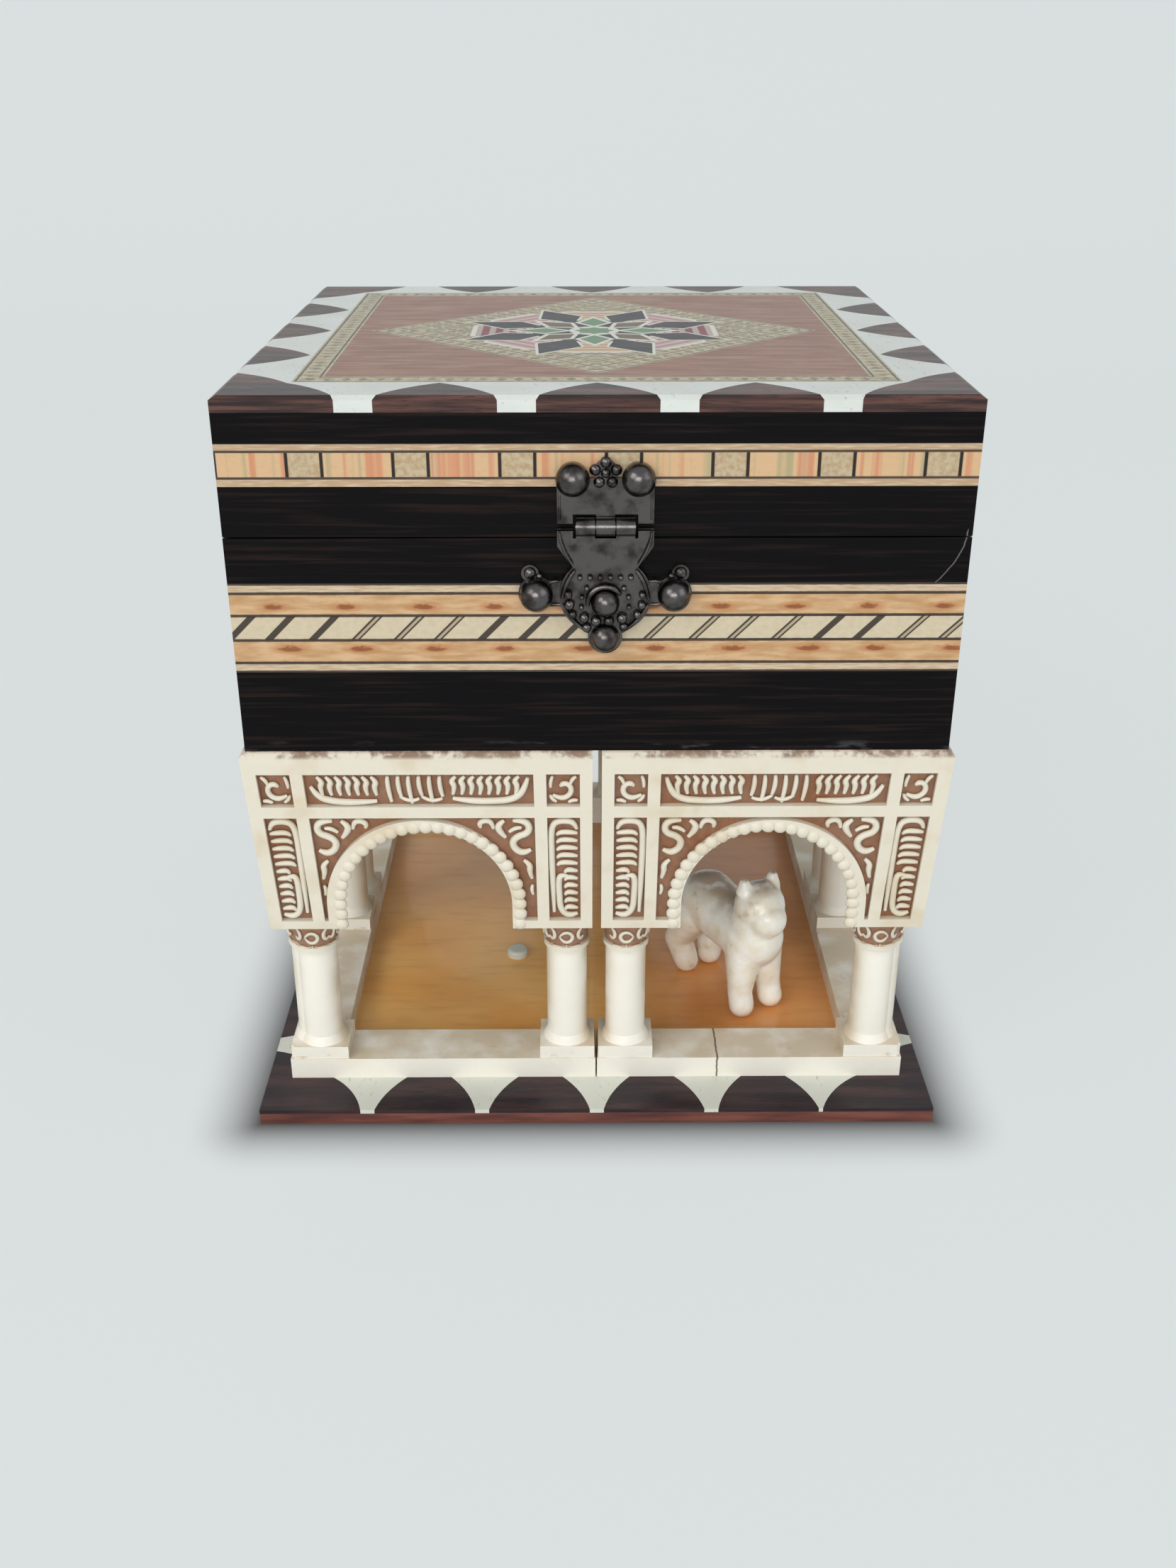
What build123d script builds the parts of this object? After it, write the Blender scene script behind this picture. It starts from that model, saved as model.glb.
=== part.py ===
from build123d import *
import math
import os

# Driving dimensions, in millimetres.
# The origin is the centre of the base plate's underside: +X right, +Y to the back, +Z up.

# Fits and gaps
moving_gap = 0.3          # between neighbours that move past each other
running_fit = 0.05        # radial clearance of a shaft in its hole
lid_gap = 0.25            # dark line between the body and the closed lid

# Base plate
base_width = 125.0
base_depth = 136.0
base_board_t = 2.3
base_veneer_t = 0.8
base_border_w = 14.0      # inlaid border, its inner edge hidden under the arcade's sill
base_leaf_depth = 13.6
base_leaf_bow = 0.1       # how far a leaf's side bows out, as a share of its length
base_leaf_stem = 2.6      # bone left between two leaves at the edge
base_leaves = 6           # leaves on a side, the two corner leaves counted
base_corner_tip = 11.0    # reach of a corner leaf's point from either edge
peg_radius = 2.2
peg_height = 1.6
peg_x = -16.5
peg_y = -14.0

# Arcade ring under the box
arcade_height = 69.4
arcade_proud = 1.1        # how far its top stands out from the box
arcade_foot_half = 58.0   # half width of the ring at the sill
block_height = 35.8       # carved block over the columns
block_foot_half = 59.0    # half width of the ring at the block's foot
block_depth = 8.0
block_round = 1.0         # sloping edge at the block's top
block_seam = 0.8          # half the gap between two blocks of one side
sill_seam = 0.15          # half the gap between two sills of one side
sill_height = 4.3
sill_depth = 9.6
relief = 1.2              # depth of the sunk panels
bar_w = 2.2               # raised bars between the panels
outer_bar_w = 2.4         # bar at the corner
top_bar = 4.1             # from the box's underside down to the frieze
foot_bar = 1.6
square_w = 5.8            # corner squares and upright panels
frieze_h = 6.4
arch_radius = 15.7
arch_drop = 30.7          # from the box's underside down to the arch's centre
arch_band = 1.8
column_inner = 5.5        # column axes, from the middle of the side
column_outer = 52.1
shaft_radius = 3.75
abacus_w = 9.2
abacus_h = 0.6
capital_h = 5.2
collar_h = 0.9
column_base_h = 1.6
column_flare = 0.8
plinth_w = 10.3
plinth_d = 9.2
plinth_h = 2.6

# Wooden box
box_side = 120.0
wall_t = 5.5
floor_t = 3.0
body_height = 37.3
lid_wall_height = 20.0
lid_back_t = 9.0          # thicker back rail of the lid, which presses the stop pin
lid_top_t = 2.5
lid_backing_t = 2.0
strip_t = 1.0             # inlaid strips let into the walls
body_strip_low = 14.4
body_strip_h = 15.4
lid_strip_low = 8.4       # from the parting line
lid_strip_h = 6.8
lining_t = 0.8

# Inlaid top of the lid
lid_border_w = 11.0
lid_leaf_depth = 10.4     # also the reach of a corner leaf's point
lid_leaf_bow = 0.07
lid_leaf_stem = 6.0
lid_leaves = 5
lid_band_w = 4.6
lozenge_half = 42.0
soft_edge_w = 1.0         # softened edge of the top
soft_edge_h = 0.6

# Clasp
clasp_x = 1.2
clasp_sheet = 0.8
clasp_half_w = 7.7
clasp_axis_z = 2.3        # hinge axis over the parting line
clasp_barrel_r = 1.5
clasp_barrel_w = 3.2
clasp_pin_r = 0.6
clasp_nail_r = 2.7
clasp_nail_x = 5.2
clasp_nail_z = 9.9
wing_x = 11.15
wing_drop = 9.0           # wings below the parting line
neck_half = 5.2
neck_drop = 4.3
shield_half = 7.3
shield_drop = 10.2
shield_foot_half = 3.3
shield_foot_drop = 14.9
lobe_drop = 16.1
lobe_r = 2.8
knob_r = 2.35
nail_shank_r = 0.6
nail_shank_l = 4.0

# Back hinges
hinge_x = 35.0
hinge_w = 18.0
hinge_leaf_h = 8.0
hinge_sheet = 0.8
hinge_barrel_r = 1.4
hinge_pin_r = 0.7
hinge_nail_r = 1.3
hinge_nail_pitch = 11.0
hinge_nail_l = 3.5

# Music movement, placed by its cylinder's axis
movement_x = -17.0
movement_y = 28.5
plate_t = 1.6
divider_t = 3.0
divider_h = 30.0
cover_t = 1.5
barrel_offset = 13.0      # spring arbor, left of the movement's middle
barrel_r = 12.4
barrel_wall = 0.8
barrel_h = 10.0
spring_t = 0.35
spring_turns = 7
arbor_r = 1.5
crown_teeth = 34
pinion_teeth = 10
crown_r = 10.3
crown_face = 1.4
crown_disc_t = 1.0
pinion_w = 2.0
cylinder_r = 6.5
cylinder_l = 18.6
cylinder_start = 3.4      # cylinder's left end, right of the movement's middle
spindle_r = 1.1
tune_pin_r = 0.25
tune_pin_h = 0.6
pins_per_row = 4
comb_teeth = 18
comb_t = 0.9
comb_tooth_l = 10.5
comb_body_d = 8.0
comb_slot = 0.25
wheel_module = 0.35
wheel_teeth = 44
small_teeth = 11
worm_module = 0.5
worm_wheel_teeth = 22
worm_core_r = 1.0
worm_r = 2.05
worm_pitch_r = 1.6
worm_turns = 5
wheel_w = 1.2
fan_r = 5.0
fan_h = 3.6
axle_r = 0.7
movement_screw_r = 1.2
screw_head_r = 2.2
screw_head_h = 0.9
comb_screw_r = 0.8
key_drop = 4.0            # underside of the box down to the key's hub
key_hub_r = 2.6
key_hub_h = 5.0
key_wing_w = 17.0
key_wing_h = 9.0
key_wing_t = 1.6
stop_pin_r = 0.8
stop_pin_y = 52.6

# Lion, standing on the floor of the court; lengths along it are from its own middle
lion_x = 27.7
lion_y = -27.0
lion_turn = -58.0
lion_back_h = 23.8
lion_head_h = 24.2
lion_head_r = 5.1
lion_head_turn = -4.0
lion_snout_r = 3.8
lion_body_r = 6.1
lion_front_x = 8.6
lion_rear_x = -9.6
lion_front_leg_y = 3.6
lion_rear_leg_y = 3.0
lion_paw_r = 2.6
lion_ear_y = 3.3
lion_ear_h = 3.2
lion_tail_r = 1.2

# Levels and lines that follow
base_top = base_board_t + base_veneer_t
box_z = base_top + arcade_height
floor_top = box_z + floor_t
parting_z = box_z + body_height
lid_foot = parting_z + lid_gap
lid_top_z = parting_z + lid_wall_height
top_z = lid_top_z + lid_top_t
half = box_side / 2
inner = half - wall_t
arcade_top_half = half + arcade_proud
block_z = box_z - block_height
sill_z = base_top + sill_height
clasp_face = -half - clasp_sheet - moving_gap
clasp_hinge_y = -half - clasp_barrel_r - 0.1
clasp_z = parting_z + clasp_axis_z
crown_module = 2 * crown_r / crown_teeth
hinge_y = half + hinge_barrel_r


def block(x0, x1, y0, y1, z0, z1):
    """A box between two corners."""
    centre = Pos((x0 + x1) / 2, (y0 + y1) / 2, (z0 + z1) / 2)
    return centre * Box(x1 - x0, y1 - y0, z1 - z0)


def rod(x, y, z0, z1, radius):
    """An upright rod."""
    return Pos(x, y, (z0 + z1) / 2) * Cylinder(radius, z1 - z0)


def rod_x(y, z, x0, x1, radius):
    """A rod along X."""
    return Pos((x0 + x1) / 2, y, z) * Rot(0, 90, 0) * Cylinder(radius, x1 - x0)


def rod_y(x, z, y0, y1, radius):
    """A rod along Y."""
    return Pos(x, (y0 + y1) / 2, z) * Rot(90, 0, 0) * Cylinder(radius, y1 - y0)


def ball(x, y, z, radius):
    return Pos(x, y, z) * Sphere(radius)


def fuse(shapes):
    """Join a list of shapes that touch."""
    whole = shapes[0]
    for shape in shapes[1:]:
        whole = whole + shape
    return whole


def group(shapes):
    """Keep a list of shapes as separate solids of one node."""
    solids = []
    for shape in shapes:
        solids.extend(shape.solids())
    return Compound(children=solids)


def save(shape, node):
    export_step(shape, "parts/" + node + ".step")


def plate(face, thickness, z):
    """A flat sheet of the given outline, standing on z."""
    return Pos(0, 0, z) * extrude(face, amount=thickness)


def upright(face, y_front, thickness):
    """A sheet whose outline is drawn in X and Z, from y_front towards the back."""
    front = Plane(origin=(0, y_front, 0), x_dir=(1, 0, 0), z_dir=(0, -1, 0))
    return front.location * extrude(face, amount=-thickness)


def disc(x, y, radius):
    return Pos(x, y) * Circle(radius)


def outline(*points):
    return make_face(Polyline(*points, close=True))


# Inlaid leaves

def bowed(start, end, share):
    """An arc from start to end that bows out to the right by a share of its length."""
    dx = end[0] - start[0]
    dy = end[1] - start[1]
    middle = ((start[0] + end[0]) / 2 + share * dy, (start[1] + end[1]) / 2 - share * dx)
    return ThreePointArc(start, middle, end)


def leaf(width, depth, bow):
    """A leaf with its straight foot on the X axis and its point inwards, along +Y."""
    foot = (-width / 2, 0)
    heel = (width / 2, 0)
    tip = (0, depth)
    return make_face([Line(foot, heel), bowed(heel, tip, bow), bowed(tip, foot, bow)])


def corner_leaf(reach, tip_reach, bow):
    """A leaf that fills a corner and points along the diagonal."""
    corner = (0, 0)
    right = (reach, 0)
    tip = (tip_reach, tip_reach)
    up = (0, reach)
    return make_face([Line(corner, right), bowed(right, tip, bow), bowed(tip, up, bow), Line(up, corner)])


def border_leaves(width, depth, count, stem, leaf_depth, corner_tip, bow):
    """The faces of all leaves round a rectangle: edge leaves and four corner leaves."""
    faces = []
    for turn in range(4):
        long = width if turn % 2 == 0 else depth
        short = depth if turn % 2 == 0 else width
        pitch = (long + stem) / count
        reach = pitch - stem
        edge = Rot(0, 0, 90 * turn) * Pos(0, -short / 2)
        for i in range(1, count - 1):
            x = -long / 2 + pitch * (i + 0.5) - stem / 2
            faces.append(edge * Pos(x, 0) * leaf(reach, leaf_depth, bow))
        faces.append(edge * Pos(-long / 2, 0) * corner_leaf(reach, corner_tip, bow))
    return faces


def ring(outer_w, outer_d, border):
    return Rectangle(outer_w, outer_d) - Rectangle(outer_w - 2 * border, outer_d - 2 * border)


# Base

def make_base():
    board = block(-base_width / 2, base_width / 2, -base_depth / 2, base_depth / 2, 0, base_board_t)
    save(board, "base_board")
    leaves = border_leaves(base_width, base_depth, base_leaves, base_leaf_stem, base_leaf_depth,
                           base_corner_tip, base_leaf_bow)
    rosewood = [plate(face, base_veneer_t, base_board_t) for face in leaves]
    save(group(rosewood), "base_border_rosewood")
    bone = plate(ring(base_width, base_depth, base_border_w), base_veneer_t, base_board_t)
    for piece in rosewood:
        bone = bone - piece
    save(bone, "base_border_bone")
    x = base_width / 2 - base_border_w
    y = base_depth / 2 - base_border_w
    court = block(-x, x, -y, y, base_board_t, base_top)
    save(court, "patio_floor")
    peg = rod(peg_x, peg_y, base_top, base_top + peg_height, peg_radius)
    save(fillet(peg.edges().group_by(Axis.Z)[-1], peg_height / 2), "floor_peg")


# Lion

def limb(start, end, r0, r1):
    """A tapering limb between two points, round at both ends."""
    run = Vector(*end) - Vector(*start)
    along = Plane(origin=start, z_dir=run)
    taper = along.location * Pos(0, 0, run.length / 2) * Cone(r0, r1, run.length)
    return taper + ball(*start, r0) + ball(*end, r1)


def lion_body(back_z):
    """Rump, belly, chest and neck."""
    r = lion_body_r
    rump = (lion_rear_x + 2.2, 0, back_z)
    belly = ((lion_front_x + lion_rear_x) / 2, 0, back_z - 1.2)
    chest = (lion_front_x - 1.0, 0, back_z - 1.5)
    neck = (lion_front_x - 0.2, 0, back_z + 2.5)
    pieces = [limb(rump, belly, r, r - 0.3), limb(belly, chest, r - 0.3, r + 0.1)]
    return pieces + [limb(chest, neck, r + 0.1, r - 0.9)]


def lion_head():
    """Head with a blunt snout and two round ears, turned a little to the side."""
    dx = math.cos(math.radians(lion_head_turn))
    dy = math.sin(math.radians(lion_head_turn))
    x = lion_front_x + 0.6
    pieces = [ball(x, 0, lion_head_h, lion_head_r)]
    pieces.append(ball(x + 3.0 * dx, 3.0 * dy, lion_head_h - 1.6, lion_snout_r))
    for side in (-lion_ear_y, lion_ear_y):
        ear = Pos(x - 0.8 * dx - side * dy, -0.8 * dy + side * dx, lion_head_h + lion_head_r - 0.4)
        pieces.append(ear * Cone(1.9, 0.9, lion_ear_h))
    return pieces


def lion_legs(back_z):
    pieces = []
    for side in (-1, 1):
        y = side * lion_front_leg_y
        wrist = (lion_front_x + 0.2, y, 5.0)
        pieces.append(limb((lion_front_x - 0.6, side * 2.4, back_z - 3.5), wrist, 4.0, 2.5))
        pieces.append(limb(wrist, (lion_front_x + 1.0, y, 2.2), 2.5, lion_paw_r))
        y = side * lion_rear_leg_y
        thigh = (lion_rear_x + 0.6, side * 2.7, back_z - 3.6)
        hock = (lion_rear_x - 2.3, y + side * 1.2, 7.5)
        pieces.append(limb(thigh, hock, 4.7, 2.9))
        pieces.append(limb(hock, (lion_rear_x - 0.8, y, 2.2), 2.9, lion_paw_r))
    return pieces


def make_lion():
    """A plain standing lion of the kind that carries a court fountain; it faces +X before its turn."""
    back_z = lion_back_h - lion_body_r
    root = (lion_rear_x - 3.0, 0, back_z - 1.0)
    end = (lion_rear_x - 5.4, 0, 11.0)
    tail = [limb(root, end, lion_tail_r, lion_tail_r - 0.1), ball(*end, lion_tail_r + 0.5)]
    lion = fuse(lion_body(back_z) + lion_head() + lion_legs(back_z) + tail)
    lion = lion & block(-30, 30, -30, 30, 0, 60)
    save(Pos(lion_x, lion_y, base_top) * Rot(0, 0, lion_turn) * lion, "courtyard_lion")


# Arcade

def slanted(u, h):
    """A point of the block's face: it narrows towards the foot, as the whole ring does."""
    narrowing = (arcade_top_half - block_foot_half) / arcade_top_half
    return (u * (1 - narrowing * h / block_height), -h)


def sunk(u0, u1, h0, h1):
    """A sunk panel between two distances from the middle and two depths below the top."""
    face = outline(slanted(u0, h0), slanted(u1, h0), slanted(u1, h1), slanted(u0, h1))
    return Pos(0, 0, -relief) * extrude(face, amount=relief + 1)


def column(x, y):
    """One column: capital under the block, shaft, base and square plinth on the sill."""
    plinth_top = sill_z + plinth_h
    abacus_z = block_z - abacus_h
    neck_z = block_z - capital_h
    y0 = y - abacus_w / 2
    abacus = block(x - abacus_w / 2, x + abacus_w / 2, y0, y + abacus_w / 2, abacus_z, block_z + 1)
    bell_h = abacus_z - neck_z
    bell = Pos(x, y, neck_z + bell_h / 2) * Cone(shaft_radius, abacus_w / 2 - 0.2, bell_h)
    collar = rod(x, y, neck_z - collar_h, neck_z, shaft_radius + 0.45)
    shaft = rod(x, y, plinth_top, neck_z, shaft_radius)
    foot = Cone(shaft_radius + column_flare, shaft_radius, column_base_h)
    foot = Pos(x, y, plinth_top + column_base_h / 2) * foot
    plinth = block(x - plinth_w / 2, x + plinth_w / 2, y - plinth_d / 2, y + plinth_d / 2, sill_z, plinth_top)
    return abacus + bell + collar + shaft + foot + plinth


def top_slope(wide):
    """Everything behind the sloping edge that runs along the top of the block."""
    y = -arcade_top_half
    side = Plane(origin=(0, 0, 0), x_dir=(0, 1, 0), z_dir=(1, 0, 0))
    section = outline((0, box_z), (y + block_round, box_z), (y - 1, box_z - block_round - 1),
                      (y - 1, base_top), (0, base_top))
    return side.location * extrude(section, amount=wide)


def make_module():
    """The right half of the front side; the other seven are turned or mirrored from it."""
    lean = math.atan((arcade_top_half - block_foot_half) / block_height)
    face_height = block_height / math.cos(lean)
    face = Plane(origin=(0, -arcade_top_half, box_z), x_dir=(1, 0, 0),
                 z_dir=(0, -math.cos(lean), -math.sin(lean)))
    wide = arcade_top_half + 10
    slab = outline((block_seam, 5), (wide, 5), (wide, -face_height - 5), (block_seam, -face_height - 5))
    slab = extrude(slab, amount=-block_depth)
    u1 = block_seam + bar_w
    u2 = u1 + square_w
    u3 = u2 + bar_w
    u6 = arcade_top_half - outer_bar_w
    u5 = u6 - square_w
    u4 = u5 - bar_w
    h1 = top_bar
    h2 = h1 + frieze_h
    h3 = h2 + bar_w
    h4 = block_height - foot_bar
    arch_centre = (u3 + u4) / 2
    arch_h = arch_drop / math.cos(lean)
    leg_h = face_height + 10 - arch_h
    legs = Pos(arch_centre, -arch_h - leg_h / 2)
    opening = disc(arch_centre, -arch_h, arch_radius) + legs * Rectangle(2 * arch_radius, leg_h)
    band_r = arch_radius + arch_band
    band = disc(arch_centre, -arch_h, band_r) + legs * Rectangle(2 * band_r, leg_h)
    panels = [sunk(u1, u2, h1, h2), sunk(u3, u4, h1, h2), sunk(u5, u6, h1, h2)]
    panels += [sunk(u1, u2, h3, h4), sunk(u5, u6, h3, h4)]
    spandrels = sunk(u3, u4, h3, h4) - Pos(0, 0, -relief - 1) * extrude(band, amount=relief + 3)
    slab = slab - Pos(0, 0, -block_depth - 5) * extrude(opening, amount=block_depth + 10)
    for panel in panels + [spandrels]:
        slab = slab - panel
    upper = face.location * slab
    upper = upper & block(0, wide, -wide, 0, block_z, box_z) & top_slope(wide)
    line = -(arcade_foot_half - sill_depth / 2)
    sill = block(sill_seam, wide, -arcade_foot_half, -arcade_foot_half + sill_depth, base_top, sill_z)
    whole = upper + sill + column(column_inner, line) + column(column_outer, line)
    far = wide + 20
    mitre = plate(outline((sill_seam, -sill_seam), (far, -far), (sill_seam, -far)), box_z + 1, 0)
    return whole & mitre


def make_arcade():
    module = make_module()
    twin = mirror(module, about=Plane.YZ)
    names = (("front_right", "front_left"), ("right_back", "right_front"),
             ("back_left", "back_right"), ("left_front", "left_back"))
    for turn, (first, second) in enumerate(names):
        spin = Rot(0, 0, 90 * turn)
        save(spin * module, "arcade_" + first)
        save(spin * twin, "arcade_" + second)


# Wooden box

def strip_ring(z0, z1):
    """The space that a band of inlaid strips takes out of four walls."""
    out = half + 1
    deep = half - strip_t
    return block(-out, out, -out, out, z0, z1) - block(-deep, deep, -deep, deep, z0, z1)


def strips(z0, z1):
    """Four inlaid strips, the front and back ones running the full width."""
    deep = half - strip_t
    return [block(-half, half, -half, -deep, z0, z1), block(-half, half, deep, half, z0, z1),
            block(-half, -deep, -deep, deep, z0, z1), block(deep, half, -deep, deep, z0, z1)]


def walls(z0, z1, thickness, back_thickness):
    """Front, back, left and right walls; the side walls stand between the other two."""
    front = block(-half, half, -half, -half + thickness, z0, z1)
    back = block(-half, half, half - back_thickness, half, z0, z1)
    left = block(-half, -half + thickness, -half + thickness, half - back_thickness, z0, z1)
    right = block(half - thickness, half, -half + thickness, half - back_thickness, z0, z1)
    return {"front": front, "back": back, "left": left, "right": right}


def catch_shanks():
    z = parting_z - wing_drop
    return [rod_y(clasp_x + side * wing_x, z, -half - clasp_sheet, -half + nail_shank_l, nail_shank_r)
            for side in (-1, 1)]


def plate_shanks():
    z = parting_z + clasp_nail_z
    return [rod_y(clasp_x + side * clasp_nail_x, z, -half - clasp_sheet, -half + nail_shank_l, nail_shank_r)
            for side in (-1, 1)]


def hinge_shanks(z):
    shanks = []
    for side in (-1, 1):
        for step in (-0.5, 0.5):
            x = side * hinge_x + step * hinge_nail_pitch
            shanks.append(rod_y(x, z, half - hinge_nail_l, half + hinge_sheet, nail_shank_r))
    return shanks


def make_body():
    floor_plate = block(-half, half, -half, half, box_z, floor_top)
    for x, y in screw_places():
        floor_plate = floor_plate - rod(x, y, box_z - 1, floor_top + 1, movement_screw_r)
    key_hole = rod(movement_x - barrel_offset, movement_y, box_z - 1, floor_top + 1, arbor_r + 1.0)
    save(floor_plate - key_hole, "box_floor")
    z0 = box_z + body_strip_low
    z1 = z0 + body_strip_h
    cutters = [strip_ring(z0, z1)] + catch_shanks() + hinge_shanks(parting_z - hinge_leaf_h / 2)
    for side, wall in walls(floor_top, parting_z, wall_t, wall_t).items():
        for cutter in cutters:
            wall = wall - cutter
        save(wall, "body_wall_" + side)
    bands = []
    for strip in strips(z0, z1):
        for shank in catch_shanks():
            strip = strip - shank
        bands.append(strip)
    save(group(bands), "body_inlay_strips")


def divider_lines():
    """Where the movement's compartment ends: its front and right dividers."""
    front = movement_y - 30.0
    right = movement_x + 36.5
    return front, right


def make_lining():
    """Felt on the floor of the tray and on the inside of the walls above it."""
    front, right = divider_lines()
    top = parting_z - 2.0
    edge = inner - 0.01
    sheet = outline((-edge, -edge), (edge, -edge), (edge, edge), (right, edge), (right, front),
                    (-edge, front))
    pieces = [plate(sheet, lining_t, floor_top)]
    low = floor_top + lining_t
    pieces.append(block(-edge, edge, -edge, -edge + lining_t, low, top))
    pieces.append(block(-edge, -edge + lining_t, -edge + lining_t, front, low, top))
    pieces.append(block(edge - lining_t, edge, -edge + lining_t, edge - lining_t, low, top))
    pieces.append(block(right, edge, edge - lining_t, edge, low, top))
    save(group(pieces), "body_lining")


def make_compartment():
    front, right = divider_lines()
    top = floor_top + divider_h
    rail = block(-inner, right, front, front + divider_t, floor_top, top)
    side = block(right - divider_t, right, front + divider_t, inner, floor_top, top)
    save(rail + side, "compartment_divider")
    hole = rod(worm_line(), stop_pin_y, top - 1, top + cover_t + 1, stop_pin_r + moving_gap)
    cover = block(-inner + 0.2, right, front, inner - 0.2, top, top + cover_t) - hole
    save(cover, "movement_cover")


# Clasp

def mirrored_face(points_arc):
    """A face from its right half, drawn from the middle of the top to the middle of the foot."""
    right = points_arc
    left = [mirror(edge, about=Plane.YZ) for edge in right]
    return make_face(right + left)


def ball_nails(shanks, x_places, z, base_y):
    """Round-headed nails: a ball cut flat on the sheet, and its shank."""
    nails = []
    for shank, x in zip(shanks, x_places):
        head = ball(x, base_y - clasp_nail_r * 0.35, z, clasp_nail_r)
        head = head & block(x - 5, x + 5, base_y - 10, base_y, z - 5, z + 5)
        nails.append(head + shank)
    return nails


def make_clasp():
    sheet_y = -half - clasp_sheet
    z = parting_z
    # Catch on the body, with two wings
    wing_z = z - wing_drop
    face = Pos(clasp_x, wing_z) * Rectangle(2 * wing_x, 4.4)
    face += disc(clasp_x, z - shield_drop, shield_half - 1.0)
    for side in (-1, 1):
        face += disc(clasp_x + side * wing_x, wing_z, clasp_nail_r + 0.2)
        face += disc(clasp_x + side * (wing_x + 1.0), wing_z + 3.4, 1.4)
    catch = upright(face, sheet_y, clasp_sheet)
    for shank in catch_shanks():
        catch = catch - shank
    save(catch, "clasp_catch")
    xs = [clasp_x - wing_x, clasp_x + wing_x]
    save(group(ball_nails(catch_shanks(), xs, wing_z, sheet_y)), "clasp_catch_nails")
    # Hinge plate on the lid
    axis_y = clasp_hinge_y
    barrels = 3 * clasp_barrel_w
    top = z + clasp_nail_z
    low = clasp_z + moving_gap
    face = Pos(clasp_x, (low + top) / 2) * Rectangle(2 * clasp_half_w, top - low)
    for side in (-1, 1):
        face += disc(clasp_x + side * clasp_nail_x, top, clasp_nail_r - 0.2)
    face += disc(clasp_x, top + 1.0, 1.9)
    window_top = clasp_z + clasp_barrel_r + moving_gap
    face -= Pos(clasp_x, (low + window_top) / 2) * Rectangle(barrels + 0.8, window_top - low)
    leaf_plate = upright(face, sheet_y, clasp_sheet)
    middle = clasp_barrel_w / 2 - 0.1
    strap = block(clasp_x - middle, clasp_x + middle, sheet_y, -half, clasp_z, window_top)
    barrel = rod_x(axis_y, clasp_z, clasp_x - middle, clasp_x + middle, clasp_barrel_r)
    pin = rod_x(axis_y, clasp_z, clasp_x - barrels / 2, clasp_x + barrels / 2, clasp_pin_r)
    leaf_plate = leaf_plate + strap + barrel - pin
    for shank in plate_shanks():
        leaf_plate = leaf_plate - shank
    save(leaf_plate, "clasp_hinge_plate")
    save(pin, "clasp_pin")
    xs = [clasp_x - clasp_nail_x, clasp_x + clasp_nail_x]
    save(group(ball_nails(plate_shanks(), xs, top, sheet_y)), "clasp_plate_nails")
    # Flap with its shield, knob and finger lobe
    ear = clasp_z - moving_gap
    right = [Line((0, ear), (clasp_half_w, ear)),
             Line((clasp_half_w, ear), (clasp_half_w, z - 0.8)),
             Line((clasp_half_w, z - 0.8), (neck_half, z - neck_drop)),
             ThreePointArc((neck_half, z - neck_drop), (shield_half, z - shield_drop),
                           (shield_foot_half, z - shield_foot_drop)),
             Line((shield_foot_half, z - shield_foot_drop), (0, z - shield_foot_drop))]
    face = Pos(clasp_x, 0) * mirrored_face(right)
    face += disc(clasp_x, z - lobe_drop, lobe_r)
    window_low = clasp_z - clasp_barrel_r - moving_gap
    face -= Pos(clasp_x, (window_low + ear) / 2) * Rectangle(barrels + 0.8, ear - window_low)
    flap = upright(face, clasp_face - clasp_sheet, clasp_sheet)
    for side in (-1, 1):
        x0 = clasp_x + side * clasp_barrel_w - clasp_barrel_w / 2 + 0.1
        x1 = x0 + clasp_barrel_w - 0.2
        knuckle = rod_x(axis_y, clasp_z, x0, x1, clasp_barrel_r)
        strap = block(x0, x1, clasp_face - clasp_sheet, clasp_face, window_low - 0.2, clasp_z)
        flap = flap + strap + knuckle
    flap = flap - rod_x(axis_y, clasp_z, clasp_x - barrels, clasp_x + barrels, clasp_pin_r + running_fit)
    front = clasp_face - clasp_sheet
    knob = ball(clasp_x, front, z - shield_drop, knob_r)
    knob += ball(clasp_x, front, z - lobe_drop, lobe_r - 0.4)
    flap = flap + (knob & block(-30, 30, front - 5, clasp_face, z - 30, z))
    save(flap, "clasp_flap")


# Back hinges

def hinge_leaf(x, z0, z1, spans):
    """A leaf on the back of the wall with the knuckles that it carries."""
    w = hinge_w / 2
    sheet = block(x - w, x + w, half, half + hinge_sheet, z0, z1)
    for low, high in spans:
        knuckle = rod_x(hinge_y, parting_z, x + low, x + high, hinge_barrel_r)
        zs = sorted((parting_z, z0 if z0 > parting_z else z1))
        neck = block(x + low, x + high, half, half + hinge_sheet, zs[0], zs[1])
        sheet = sheet + neck + knuckle
    return sheet


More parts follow.
